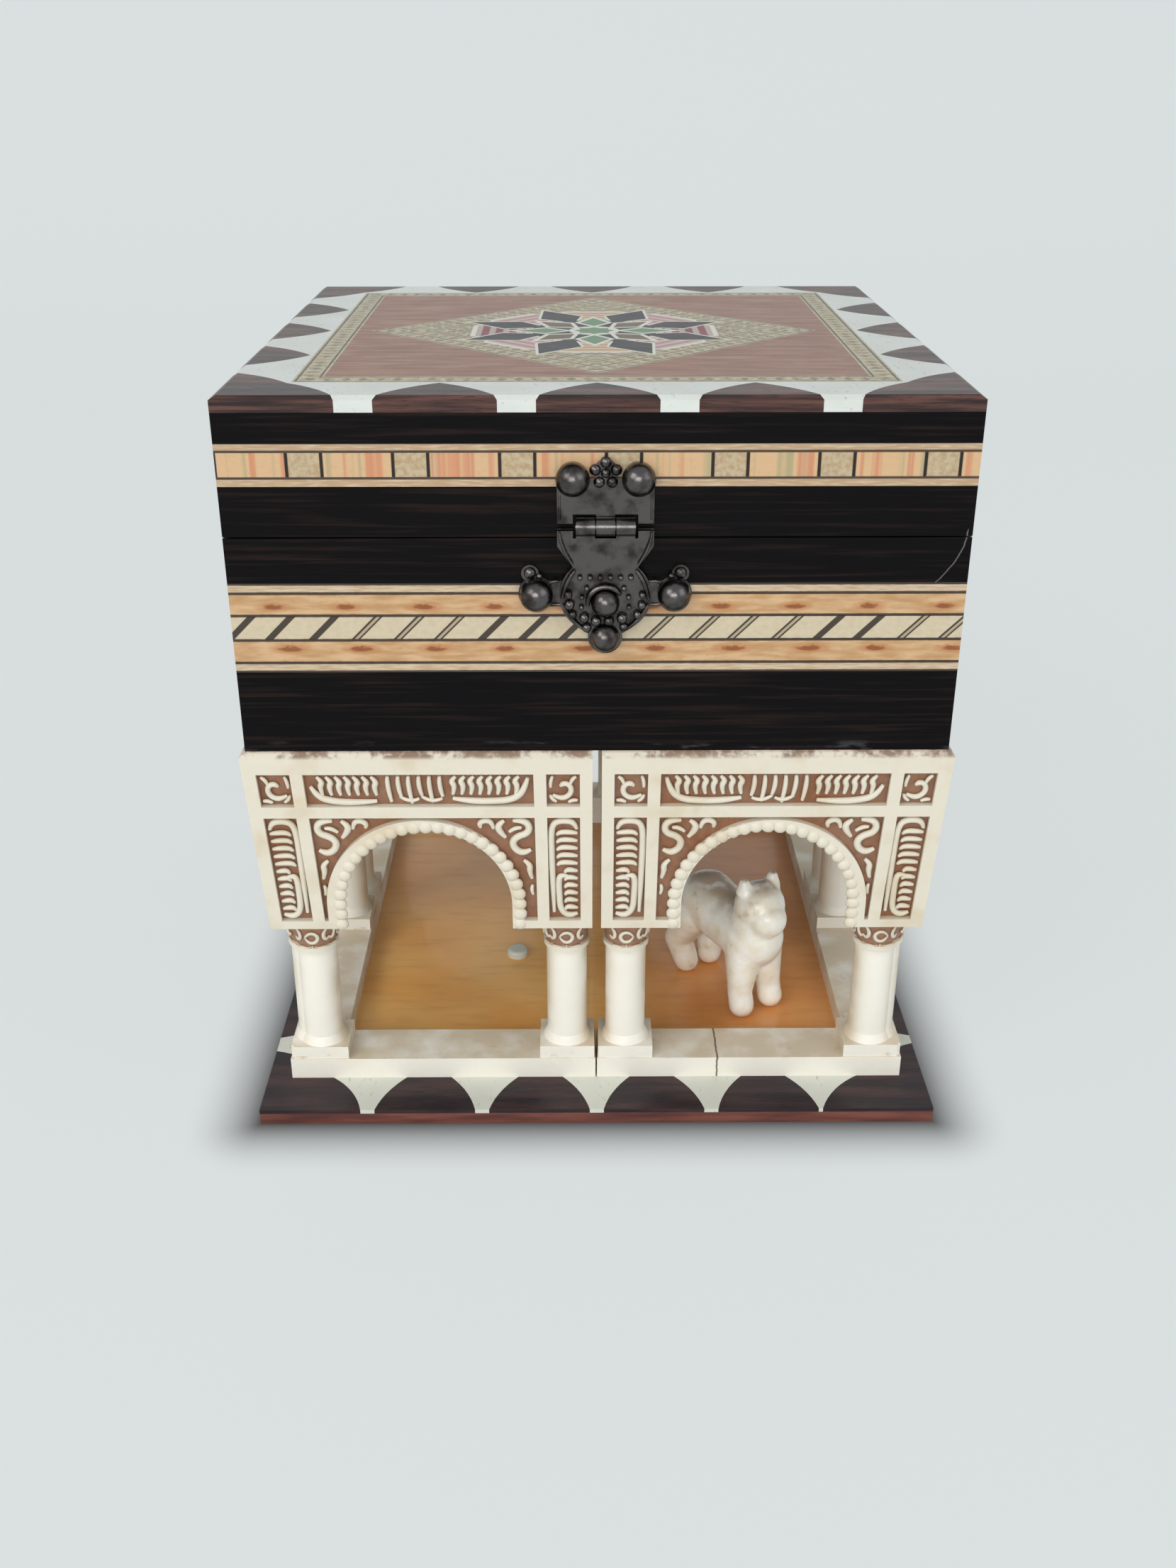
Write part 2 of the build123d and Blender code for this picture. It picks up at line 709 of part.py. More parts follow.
def make_hinges():
    third = hinge_w / 6
    gap = 0.1
    clear = hinge_barrel_r + moving_gap
    body_leaves = []
    lid_leaves = []
    pins = []
    for side in (-1, 1):
        x = side * hinge_x
        outer = [(-hinge_w / 2, -third - gap), (third + gap, hinge_w / 2)]
        low = hinge_leaf(x, parting_z - hinge_leaf_h, parting_z - clear, outer)
        high = hinge_leaf(x, parting_z + clear, parting_z + hinge_leaf_h, [(-third, third)])
        pin = rod_x(hinge_y, parting_z, x - hinge_w / 2, x + hinge_w / 2, hinge_pin_r)
        body_leaves.append(low - pin)
        bore = rod_x(hinge_y, parting_z, x - hinge_w, x + hinge_w, hinge_pin_r + running_fit)
        lid_leaves.append(high - bore)
        pins.append(pin)
    for leaves, z, node in ((body_leaves, parting_z - hinge_leaf_h / 2, "body"),
                            (lid_leaves, parting_z + hinge_leaf_h / 2, "lid")):
        shanks = hinge_shanks(z)
        drilled = []
        for sheet in leaves:
            for shank in shanks:
                sheet = sheet - shank
            drilled.append(sheet)
        save(group(drilled), "hinge_leaves_" + node)
        nails = []
        face = half + hinge_sheet
        for shank in shanks:
            centre = shank.center()
            head = ball(centre.X, face - 0.5, centre.Z, hinge_nail_r)
            head = head & block(-half, half, face, face + 5, centre.Z - 5, centre.Z + 5)
            nails.append(head + shank)
        save(group(nails), "hinge_nails_" + node)
    save(group(pins), "hinge_pins")


# Lid

def soft_blank():
    """The whole top board with its sloping edge."""
    low = Pos(0, 0, lid_top_z) * Rectangle(box_side, box_side)
    shoulder = lid_top_z + lid_top_t - soft_edge_h
    flat = box_side - 2 * soft_edge_w
    slab = extrude(low, amount=lid_top_t - soft_edge_h)
    foot = Pos(0, 0, shoulder) * Rectangle(box_side, box_side)
    slope = loft([foot, Pos(0, 0, top_z) * Rectangle(flat, flat)])
    return slab + slope


def make_lid():
    z0 = parting_z + lid_strip_low
    z1 = z0 + lid_strip_h
    cutters = [strip_ring(z0, z1)] + plate_shanks() + hinge_shanks(parting_z + hinge_leaf_h / 2)
    inside = half - wall_t
    rebate = block(-inside - 0.01, inside + 0.01, -inside, inside, lid_top_z - lid_backing_t, lid_top_z)
    for side, wall in walls(lid_foot, lid_top_z, wall_t, lid_back_t).items():
        for cutter in cutters + [rebate]:
            wall = wall - cutter
        save(wall, "lid_wall_" + side)
    bands = []
    for strip in strips(z0, z1):
        for shank in plate_shanks():
            strip = strip - shank
        bands.append(strip)
    save(group(bands), "lid_inlay_strips")
    backing = block(-inside, inside, -inside, inside, lid_top_z - lid_backing_t, lid_top_z)
    save(backing, "lid_backing")
    back = half - lid_back_t
    low = lid_top_z - lid_backing_t - lining_t
    save(block(-inside, inside, -inside, back, low, low + lining_t), "lid_lining")
    make_marquetry()


def make_marquetry():
    blank = soft_blank()
    leaves = border_leaves(box_side, box_side, lid_leaves, lid_leaf_stem, lid_leaf_depth,
                           lid_leaf_depth, lid_leaf_bow)
    rosewood = [plate(face, lid_top_t, lid_top_z) & blank for face in leaves]
    save(group(rosewood), "lid_border_rosewood")
    bone = plate(ring(box_side, box_side, lid_border_w), lid_top_t, lid_top_z) & blank
    for piece in rosewood:
        bone = bone - piece
    save(bone, "lid_border_bone")
    band_side = box_side - 2 * lid_border_w
    save(plate(ring(band_side, band_side, lid_band_w), lid_top_t, lid_top_z), "lid_mosaic_band")
    field_side = band_side - 2 * lid_band_w
    lozenge = outline((lozenge_half, 0), (0, lozenge_half), (-lozenge_half, 0), (0, -lozenge_half))
    field = Rectangle(field_side, field_side) - lozenge
    save(plate(field, lid_top_t, lid_top_z), "lid_field")
    save(plate(lozenge, lid_top_t, lid_top_z), "lid_star_lozenge")


# Music movement

def screw_places():
    """The three screws that hold the movement to the box's floor."""
    return [(movement_x - 25.0, movement_y + 14.0), (movement_x - 23.0, movement_y - 22.0),
            (movement_x + 28.0, movement_y - 12.0)]


def cylinder_z():
    """Height of the cylinder's axis."""
    return floor_top + 17.2


def gear_face(teeth, module, phase):
    """A gear outline; phase 0 puts a tooth on the X axis and 0.5 a gap."""
    root = module * (teeth / 2 - 1.25)
    tip = module * (teeth / 2 + 0.8)
    step = 2 * math.pi / teeth
    points = []
    for i in range(teeth):
        middle = (i + phase) * step
        for radius, share in ((root, -0.31), (tip, -0.12), (tip, 0.12), (root, 0.31)):
            angle = middle + share * step
            points.append((radius * math.cos(angle), radius * math.sin(angle)))
    return outline(*points)


def gear_x(teeth, module, phase, x0, x1, y, z):
    """A gear that turns about an axle along X; its phase is measured from +Y."""
    stand = Plane(origin=(x0, y, z), x_dir=(0, 1, 0), z_dir=(1, 0, 0))
    return stand.location * extrude(gear_face(teeth, module, phase), amount=x1 - x0)


def crown_meet_z():
    """Height where the crown wheel's teeth meet the pinion."""
    return cylinder_z() - crown_module * pinion_teeth / 2


def governor_axis():
    """The governor wheel's axis, one centre distance behind the cylinder's."""
    distance = wheel_module * (wheel_teeth + small_teeth) / 2 + running_fit
    return movement_y + distance


def wheel_line():
    """Left face of the wheel at the cylinder's right end."""
    return movement_x + cylinder_start + cylinder_l + 1.0


def worm_line():
    """Middle of the worm wheel, beyond the cylinder's wheel."""
    return wheel_line() + 2 * wheel_w + 1.2


def fan_place():
    y = governor_axis() + worm_module * worm_wheel_teeth / 2 + worm_pitch_r
    return worm_line(), y


def make_bedplate():
    x0 = movement_x - 27.5
    x1 = movement_x + 31.5
    y0 = movement_y - 27.0
    y1 = movement_y + 23.0
    z = floor_top
    top = z + plate_t
    axis_z = cylinder_z()
    bed = block(x0, x1, y0, y1, z, top)
    comb_y = -movement_comb_tip() - comb_tooth_l
    left = movement_x + cylinder_start - 0.5
    right = left + cylinder_l + 1.0
    back = movement_y + comb_y
    pedestal = block(left, right, back - comb_body_d, back - 0.5, top, axis_z - comb_t / 2)
    bed = bed + pedestal
    for x in (movement_x + 0.7, wheel_line() + wheel_w + 0.8):
        bed = bed + block(x, x + 1.2, movement_y - 3.0, movement_y + 3.0, top, axis_z + 2.6)
    bed = bed - rod_x(movement_y, axis_z, x0, x1, spindle_r + running_fit)
    bed = bed - rod(movement_x - barrel_offset, movement_y, z - 1, top + 1, arbor_r + running_fit)
    for x, y in screw_places():
        bed = bed - rod(x, y, z - 1, top + 1, movement_screw_r)
    for x, y in comb_screw_places():
        bed = bed - rod(x, y, axis_z - 4, axis_z + 1, comb_screw_r)
    save(bed, "movement_bedplate")


def movement_comb_tip():
    """Distance from the cylinder's axis to the comb's tips, clear of the tune pins."""
    return cylinder_r + tune_pin_h + moving_gap


def comb_screw_places():
    y = movement_y - movement_comb_tip() - comb_tooth_l - comb_body_d / 2
    middle = movement_x + cylinder_start + cylinder_l / 2
    return [(middle - 5.5, y), (middle + 5.5, y)]


def make_comb():
    axis_z = cylinder_z()
    z0 = axis_z - comb_t / 2
    z1 = axis_z + comb_t / 2
    left = movement_x + cylinder_start - 0.5
    right = left + cylinder_l + 1.0
    tip = movement_y - movement_comb_tip()
    root = tip - comb_tooth_l
    comb = block(left, right, root - comb_body_d, tip, z0, z1)
    pitch = cylinder_l / comb_teeth
    for i in range(comb_teeth + 1):
        x = movement_x + cylinder_start + i * pitch
        comb = comb - block(x - comb_slot / 2, x + comb_slot / 2, root, tip + 1, z0 - 1, z1 + 1)
    comb = comb - block(left - 1, left + 0.5, root, tip + 1, z0 - 1, z1 + 1)
    comb = comb - block(right - 0.5, right + 1, root, tip + 1, z0 - 1, z1 + 1)
    screws = []
    for x, y in comb_screw_places():
        shank = rod(x, y, axis_z - 4, z1, comb_screw_r)
        comb = comb - shank
        screws.append(shank + rod(x, y, z1, z1 + screw_head_h, comb_screw_r * 2))
    save(comb, "tuned_comb")
    for x, y in screw_places():
        shank = rod(x, y, box_z, floor_top + plate_t, movement_screw_r)
        screws.append(shank + rod(x, y, box_z - screw_head_h, box_z, screw_head_r))
    save(group(screws), "movement_screws")


def make_spring():
    x = movement_x - barrel_offset
    y = movement_y
    z = floor_top + plate_t
    shell = rod(x, y, z, z + barrel_h, barrel_r)
    shell = shell - rod(x, y, z - 1, z + barrel_h - barrel_wall, barrel_r - barrel_wall)
    shell = shell - rod(x, y, z, z + barrel_h + 1, arbor_r + running_fit)
    save(shell, "spring_barrel")
    # Coiled from half rings whose centres alternate
    first = arbor_r + moving_gap
    step = (barrel_r - barrel_wall - moving_gap - spring_t - first) / spring_turns
    low = z + moving_gap
    high = z + barrel_h - barrel_wall - moving_gap
    coil = []
    for i in range(2 * spring_turns):
        radius = first + i * step / 2 + spring_t / 2
        side = 1 if i % 2 == 0 else -1
        shift = 0 if i % 2 == 0 else -step / 2
        half_disc = Pos(0, side * 20) * Rectangle(80, 40)
        arc = (disc(0, 0, radius + spring_t / 2) - disc(0, 0, radius - spring_t / 2)) & half_disc
        coil.append(Pos(x + shift, y, low) * extrude(arc, amount=high - low))
    save(fuse(coil), "mainspring")


def make_arbor():
    """Crown wheel on the spring's arbor, and the winding key below the box."""
    x = movement_x - barrel_offset
    y = movement_y
    root_z = crown_meet_z() - 1.25 * crown_module
    tip_z = crown_meet_z() + 0.8 * crown_module
    disc_z = root_z - crown_disc_t
    rim = crown_r + crown_face / 2
    wheel = rod(x, y, disc_z, root_z, rim)
    feet = 0.31 * math.pi * crown_module
    tips = 0.12 * math.pi * crown_module
    profile = outline((-feet, root_z - 0.2), (feet, root_z - 0.2), (tips, tip_z), (-tips, tip_z))
    stand = Plane(origin=(0, 0, 0), x_dir=(0, 1, 0), z_dir=(1, 0, 0))
    tooth = stand.location * extrude(profile, amount=crown_face)
    for i in range(crown_teeth):
        spin = Rot(0, 0, 360 * i / crown_teeth)
        wheel = wheel + Pos(x, y, 0) * spin * Pos(rim - crown_face, 0, 0) * tooth
    key_top = box_z - key_drop
    wheel = wheel + rod(x, y, key_top, root_z + 0.8, arbor_r)
    save(wheel, "crown_wheel")
    hub_z = key_top - key_hub_h
    wing = Pos(0, hub_z - key_wing_h / 2 + 1.0) * RectangleRounded(key_wing_w, key_wing_h, 3.4)
    waist = Pos(0, hub_z + 1.0) * Circle(2.2)
    wing = Pos(x, 0) * (wing - waist)
    handle = upright(wing, y - key_wing_t / 2, key_wing_t)
    hub = rod(x, y, hub_z - 3.0, key_top, key_hub_r)
    save(hub + handle, "winding_key")


def make_cylinder():
    y = movement_y
    z = cylinder_z()
    x0 = movement_x + cylinder_start
    drum = rod_x(y, z, x0, x0 + cylinder_l, cylinder_r)
    pitch = cylinder_l / comb_teeth
    for i in range(comb_teeth * pins_per_row):
        x = x0 + (i % comb_teeth + 0.5) * pitch
        stud = rod(x, 0, cylinder_r - 0.5, cylinder_r + tune_pin_h, tune_pin_r)
        drum = drum + Pos(0, y, z) * Rot(137.5 * i, 0, 0) * stud
    pinion_x = movement_x - barrel_offset + crown_r - pinion_w / 2
    axle_end = wheel_line() + wheel_w + 2.6
    drum = drum + rod_x(y, z, pinion_x - 0.6, axle_end, spindle_r)
    save(drum, "music_cylinder")
    bore = rod_x(y, z, x0 - 50, x0 + 50, spindle_r)
    pinion = gear_x(pinion_teeth, crown_module, 0.0, pinion_x, pinion_x + pinion_w, y, z)
    # Ten teeth: a quarter turn from +Y falls on a gap, where the crown's tooth stands
    wheel = gear_x(wheel_teeth, wheel_module, 0.0, wheel_line(), wheel_line() + wheel_w, y, z)
    save(group([pinion - bore, wheel - bore]), "cylinder_gears")


def make_governor():
    y = governor_axis()
    z = cylinder_z()
    worm_x, worm_y = fan_place()
    # Wheel: a small pinion in mesh with the cylinder's wheel, and the worm wheel
    small = gear_x(small_teeth, wheel_module, 0.0, wheel_line() - 0.1, wheel_line() + wheel_w + 0.1, y, z)
    worm_wheel = gear_x(worm_wheel_teeth, worm_module, 0.5, worm_x - wheel_w / 2, worm_x + wheel_w / 2, y, z)
    left = wheel_line() - 2.6
    right = worm_x + wheel_w / 2 + 2.6
    axle = rod_x(y, z, left + 0.2, right - 0.2, axle_r)
    save(small + worm_wheel + axle, "governor_wheel")
    # Worm and fan on one upright spindle
    pitch = math.pi * worm_module
    foot = z - 2.75 * pitch
    path = Helix(pitch=pitch, height=worm_turns * pitch, radius=worm_core_r)
    depth = worm_r - worm_core_r
    start = Plane(origin=path @ 0, x_dir=(1, 0, 0), z_dir=path % 0)
    profile = Polyline((-0.15, -0.42), (depth, -0.17), (depth, 0.17), (-0.15, 0.42), close=True)
    thread = sweep(start * make_face(profile), path=path, is_frenet=True)
    top = floor_top + 28.0
    spindle = rod(0, 0, foot - 3.0, top, axle_r)
    core = rod(0, 0, foot - 0.8, foot + worm_turns * pitch + 0.8, worm_core_r)
    blade = block(-fan_r, fan_r, -0.2, 0.2, top - fan_h, top)
    hub = rod(0, 0, top - fan_h, top, 1.2)
    fan = Pos(worm_x, worm_y, 0) * (spindle + core + Pos(0, 0, foot) * thread + blade + hub)
    save(fan, "governor_fan")
    make_governor_frame(left, right, foot, pitch)


def make_governor_frame(left, right, foot, pitch):
    y = governor_axis()
    z = cylinder_z()
    worm_x, worm_y = fan_place()
    low = floor_top + plate_t
    flange = block(left - 1.2, right + 1.2, y - 1.8, worm_y + 5.2, low, low + 1.4)
    frame = flange
    for x in (left - 1.2, right):
        frame = frame + block(x, x + 1.2, y - 1.8, y + 2.4, low, z + 2.4)
    top = bracket_z() + 1.2
    frame = frame + block(worm_x - 2.4, worm_x + 2.4, worm_y + 3.2, worm_y + 5.2, low, top)
    frame = frame + block(worm_x - 2.4, worm_x + 2.4, worm_y - 1.6, worm_y + 5.2, bracket_z(), top)
    frame = frame + rod(worm_x, worm_y, low, foot - 1.2, 2.0)
    ear = block(worm_x - 1.6, worm_x + 1.6, worm_y + 3.2, stop_pin_y + 1.6, bracket_z() - 3.0, bracket_z())
    frame = frame + ear
    frame = frame - rod_x(y, z, left - 5, right + 5, axle_r + running_fit)
    frame = frame - rod(worm_x, worm_y, foot - 3.0 - running_fit, floor_top + 30, axle_r + running_fit)
    frame = frame - rod(worm_x, stop_pin_y, bracket_z() - 5, bracket_z() + 5, stop_pin_r + running_fit)
    save(frame, "governor_frame")


def bracket_z():
    """Underside of the fan spindle's upper bearing."""
    return cylinder_z() + (worm_turns - 2.75) * math.pi * worm_module + 1.1


def make_stop_pin():
    """Upright pin that the closed lid presses down; its nub stops just short of the fan."""
    worm_x, worm_y = fan_place()
    low = bracket_z() - 4.0
    high = lid_foot - moving_gap - 0.05
    pin = rod(worm_x, stop_pin_y, low, high, stop_pin_r)
    top = floor_top + 28.0
    nub = block(worm_x - 0.4, worm_x + 0.4, worm_y + fan_r + moving_gap, stop_pin_y, top - 2.4, top - 1.2)
    save(pin + nub, "stop_pin")


os.makedirs("parts", exist_ok=True)
make_base()
make_lion()
make_arcade()
make_body()
make_lining()
make_compartment()
make_clasp()
make_hinges()
make_lid()
make_bedplate()
make_comb()
make_spring()
make_arbor()
make_cylinder()
make_governor()
make_stop_pin()
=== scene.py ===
# %% [markdown]
# A music box on an arcade, dressed over its measured frame. The real object is a square wooden box with
# inlaid strips and a marquetry lid, carried by an open ring of cast ivory-coloured arches over a small
# court with a lion. The frame holds every rigid piece at its true place, so this script adds what a
# maker's hand adds: carving, beads, inlay, grain, felt and wear. Sizes are written in millimetres and
# turned to metres where a mesh is made. Only the lamps and the lengths inside a shader are in metres.

import math

import bmesh
import bpy
from mathutils import Matrix, Vector


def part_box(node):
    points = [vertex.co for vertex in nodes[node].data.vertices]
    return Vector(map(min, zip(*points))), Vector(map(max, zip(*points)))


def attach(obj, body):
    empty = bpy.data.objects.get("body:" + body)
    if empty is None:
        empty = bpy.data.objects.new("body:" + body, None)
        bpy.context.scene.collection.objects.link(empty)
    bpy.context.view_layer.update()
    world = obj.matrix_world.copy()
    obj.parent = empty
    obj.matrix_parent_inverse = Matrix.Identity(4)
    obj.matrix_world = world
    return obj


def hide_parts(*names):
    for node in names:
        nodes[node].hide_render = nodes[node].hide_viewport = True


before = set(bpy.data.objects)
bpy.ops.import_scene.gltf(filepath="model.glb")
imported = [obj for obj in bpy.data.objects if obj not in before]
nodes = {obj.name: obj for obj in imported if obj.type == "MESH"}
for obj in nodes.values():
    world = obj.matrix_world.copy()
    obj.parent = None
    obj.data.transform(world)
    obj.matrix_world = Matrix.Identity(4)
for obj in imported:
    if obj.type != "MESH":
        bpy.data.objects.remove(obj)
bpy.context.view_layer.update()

# %% Sizes read from the frame, in millimetres
MM = 0.001


def reach(node):
    """Lowest and highest corner of a node, in millimetres."""
    low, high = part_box(node)
    return low / MM, high / MM


box_z = reach("box_floor")[0].z
box_half = reach("box_floor")[1].x
parting_z = reach("body_wall_front")[1].z
top_z = reach("lid_star_lozenge")[1].z
court_z = reach("patio_floor")[1].z
base_half_x = reach("base_board")[1].x
base_half_y = reach("base_board")[1].y
arcade_half = box_half + 1.1      # the carved blocks stand a little proud of the box at their top
foot_half = 59.0                  # and lean inwards, to this half width at their foot
block_h = 35.8                    # height of a carved block
lean = math.atan((arcade_half - foot_half) / block_h)
print("box underside", round(box_z, 2), "parting", round(parting_z, 2), "top", round(top_z, 2))

# %% [markdown]
# The camera stands where the photograph was taken from: about 300 mm in front of the box's middle and a
# little above its lid, looking down by about 26 degrees. The place comes from matching the box's own
# edges, so the render can be laid over the photograph. The floor and the wall behind it, made further
# down, are one swept sheet, because a plain corner would draw a line behind the object.

# %% Camera
CAMERA_PLACE = (-3.2, -298.2, 180.8)
CAMERA_DOWN = 25.7
CAMERA_ASIDE = 0.39
CAMERA_LENS = 35.23

camera_data = bpy.data.cameras.new("camera")
camera_data.sensor_fit = "AUTO"
camera_data.sensor_width = 36.0
camera_data.lens = CAMERA_LENS
camera_data.clip_start = 0.01
camera = bpy.data.objects.new("camera", camera_data)
camera.location = Vector(CAMERA_PLACE) * MM
camera.rotation_euler = (math.radians(90.0 - CAMERA_DOWN), 0.0, -math.radians(CAMERA_ASIDE))
bpy.context.scene.collection.objects.link(camera)
bpy.context.scene.camera = camera
bpy.context.scene.view_settings.view_transform = "Standard"
print("camera", CAMERA_PLACE, "lens", CAMERA_LENS)

# %% [markdown]
# A material here is a small drawing made of numbers: where a spot lies in millimetres decides which
# wood or metal it is. Writing that with single nodes would be slow to read, so two small classes let
# the drawing be written as sums and products. Only numbers that change over the surface become nodes.

# %% Amounts that become nodes
class Amount:
    """A number, colour or vector that changes over the surface, with the usual arithmetic."""

    def __init__(self, finish, node, output):
        self.finish = finish
        self.node = node
        self.socket = None if output is None else node.outputs[output]

    def other(self, output):
        """Another output of the same node."""
        return Amount(self.finish, self.node, output)

    def __add__(self, value):
        return self.finish.maths("ADD", self, value)

    def __radd__(self, value):
        return self.finish.maths("ADD", value, self)

    def __sub__(self, value):
        return self.finish.maths("SUBTRACT", self, value)

    def __rsub__(self, value):
        return self.finish.maths("SUBTRACT", value, self)

    def __mul__(self, value):
        return self.finish.maths("MULTIPLY", self, value)

    def __rmul__(self, value):
        return self.finish.maths("MULTIPLY", value, self)

    def __truediv__(self, value):
        return self.finish.maths("DIVIDE", self, value)

    def __neg__(self):
        return self.finish.maths("MULTIPLY", self, -1.0)

    def __abs__(self):
        return self.finish.maths("ABSOLUTE", self)

# %% [markdown]
# The second class is one material. It makes any node from its type, its settings and its sockets, and
# gives the few shapes that the drawings use: clouds, a step, a band between two limits and a blend of
# two colours.

# %% One material
class Finish:
    """One material, drawn in millimetres of the piece's own coordinates."""

    def __init__(self, name):
        self.material = bpy.data.materials.new(name)
        self.material.use_nodes = True
        self.tree = self.material.node_tree
        self.tree.nodes.clear()
        self.spot = None

    def node(self, kind, settings=None, sockets=None, output=0):
        """Any node: its type, its settings, then the values or links of its sockets."""
        made = self.tree.nodes.new(kind)
        for key, value in (settings or {}).items():
            setattr(made, key, value)
        for key, value in (sockets or {}).items():
            if isinstance(value, Amount):
                self.tree.links.new(value.socket, made.inputs[key])
            else:
                made.inputs[key].default_value = value
        return Amount(self, made, output)

    def maths(self, operation, *values):
        return self.node("ShaderNodeMath", {"operation": operation}, dict(enumerate(values)))

    def place(self):
        """The spot's x, y and z in millimetres."""
        if self.spot is None:
            here = self.node("ShaderNodeTexCoord", output="Object")
            scaled = self.node("ShaderNodeVectorMath", {"operation": "SCALE"}, {0: here, "Scale": 1.0 / MM})
            axes = self.node("ShaderNodeSeparateXYZ", sockets={0: scaled})
            self.spot = [axes.other(axis) for axis in "XYZ"]
        return self.spot

    def vector(self, x, y, z):
        return self.node("ShaderNodeCombineXYZ", sockets={0: x, 1: y, 2: z})

    def clouds(self, scale, detail=3.0):
        """Noise of one scale in all directions."""
        x, y, z = self.place()
        return self.noise(x * scale, y * scale, z * scale, detail)

    def noise(self, x, y, z, detail=3.0):
        """Smooth noise; the spot's numbers already carry the scale."""
        spot = self.vector(x, y, z)
        return self.node("ShaderNodeTexNoise", sockets={"Vector": spot, "Scale": 1.0, "Detail": detail})

    def chance(self, x, y=0.0):
        """A steady random number for each whole number pair."""
        spot = self.vector(x, y, 0.0)
        return self.node("ShaderNodeTexWhiteNoise", {"noise_dimensions": "3D"}, {"Vector": spot})

    def step(self, value, start, end):
        """0 before start, 1 after end, smooth between; start may be the larger."""
        return self.node("ShaderNodeMapRange", {"interpolation_type": "SMOOTHSTEP"},
                         {"Value": value, "From Min": start, "From Max": end})

    def between(self, value, low, high, soft=0.08):
        return self.step(value, low - soft, low + soft) * self.step(value, high + soft, high - soft)

    def blend(self, value, start, end, first, second, share=1.0):
        """From the first colour towards the second, as value goes from start to end."""
        step = self.step(value, start, end)
        return self.mix(step if share == 1.0 else step * share, first, second)

    def mix(self, share, first, second):
        return self.node("ShaderNodeMix", {"data_type": "RGBA"}, {0: share, 6: first, 7: second}, output=2)

    def surface(self, **sockets):
        """The main shader; names use _ for a blank."""
        named = {key.replace("_", " "): value for key, value in sockets.items()}
        return self.node("ShaderNodeBsdfPrincipled", sockets=named)

    def close(self, shader):
        self.node("ShaderNodeOutputMaterial", sockets={"Surface": shader}, output=None)
        return self.material

    def done(self, colour, roughness, height, relief, **sockets):
        """Close the material with its main shader, whose relief is given in metres."""
        normal = self.node("ShaderNodeBump", sockets={"Height": height, "Distance": relief, "Strength": 1.0})
        return self.close(self.surface(Base_Color=colour, Roughness=roughness, Normal=normal, **sockets))


def paint(red, green, blue):
    """A colour given as 0 to 255 on screen."""
    parts = []
    for value in (red, green, blue):
        share = value / 255.0
        parts.append(share / 12.92 if share <= 0.04045 else ((share + 0.055) / 1.055) ** 2.4)
    return (*parts, 1.0)


def wear(node, material):
    """Give a node of the frame its finish."""
    slots = nodes[node].material_slots
    for slot in slots:
        slot.link = "OBJECT"
        slot.material = material
    print(node, "wears", material.name)

# %% [markdown]
# The backdrop is pale grey with a hint of green, as behind the box in the photograph. The photograph
# also has a soft dark halo on the floor all round the base, about 15 mm wide, where the light of the
# room hardly reaches. The lamps alone leave it too faint, so the sheet's own colour darkens towards the
# base as well. The real background is even, so four fifths of what the camera sees of the sheet is its
# plain colour, and the rest is lit by the lamps.

# %% Backdrop
BACKDROP = paint(219, 224, 224)
# Colour and width of the painted shadow round the base
PAINTED_BASE_SHADOW = paint(84, 83, 84)
PAINTED_SHADOW_WIDTH = 15.0
BACKDROP_EVEN = 0.8
SWEEP_HALF = 1600
SWEEP = [(-900, 0), (560, 0), (660, 12), (740, 50), (790, 110), (815, 190), (820, 900)]


def paper_finish():
    paper = Finish("pale paper")
    x, y, z = paper.place()
    beyond_x = paper.maths("MAXIMUM", abs(x) - base_half_x, 0.0)
    beyond_y = paper.maths("MAXIMUM", abs(y) - base_half_y, 0.0)
    distance = paper.maths("SQRT", beyond_x * beyond_x + beyond_y * beyond_y)
    painted_shadow_share = paper.maths("MAXIMUM", 1.0 - distance / PAINTED_SHADOW_WIDTH, 0.0)
    # Painted shadow: the sheet's colour darkens towards the base
    colour = paper.mix(painted_shadow_share * painted_shadow_share * (1.2 - 0.2 * painted_shadow_share), BACKDROP, PAINTED_BASE_SHADOW)
    lit = paper.surface(Base_Color=colour, Roughness=0.6, Specular_IOR_Level=0.2)
    plain = paper.node("ShaderNodeEmission", sockets={"Color": colour, "Strength": 1.0})
    rays = paper.node("ShaderNodeLightPath", output="Is Camera Ray")
    mirrored = paper.maths("MAXIMUM", rays, rays.other("Is Glossy Ray"))
    seen = paper.maths("MAXIMUM", mirrored, rays.other("Is Transmission Ray"))
    return paper.close(paper.node("ShaderNodeMixShader", sockets={0: seen * BACKDROP_EVEN, 1: lit, 2: plain}))


def swept_backdrop():
    mesh = bpy.data.meshes.new("backdrop")
    points = []
    for y, z in SWEEP:
        points += [(-SWEEP_HALF * MM, y * MM, z * MM), (SWEEP_HALF * MM, y * MM, z * MM)]
    faces = [(2 * i, 2 * i + 1, 2 * i + 3, 2 * i + 2) for i in range(len(SWEEP) - 1)]
    mesh.from_pydata(points, [], faces)
    mesh.polygons.foreach_set("use_smooth", [True] * len(faces))
    sheet = bpy.data.objects.new("backdrop", mesh)
    bpy.context.scene.collection.objects.link(sheet)
    mesh.materials.append(paper_finish())
    return sheet


backdrop = swept_backdrop()
print("backdrop points", len(backdrop.data.vertices))

# %% [markdown]
# Daylight comes from a window at the left and in front, with white walls all round. One large lamp
# stands for the window, one behind and above the camera reaches into the court, a weaker one stands for
# the wall on the right, and the world gives an even pale light. Together they stay at a level at which
# a colour renders about as it is written.

# %% Lights
WORLD_LEVEL = 0.66
WORLD_COLOUR = (0.93, 0.96, 1.0, 1.0)


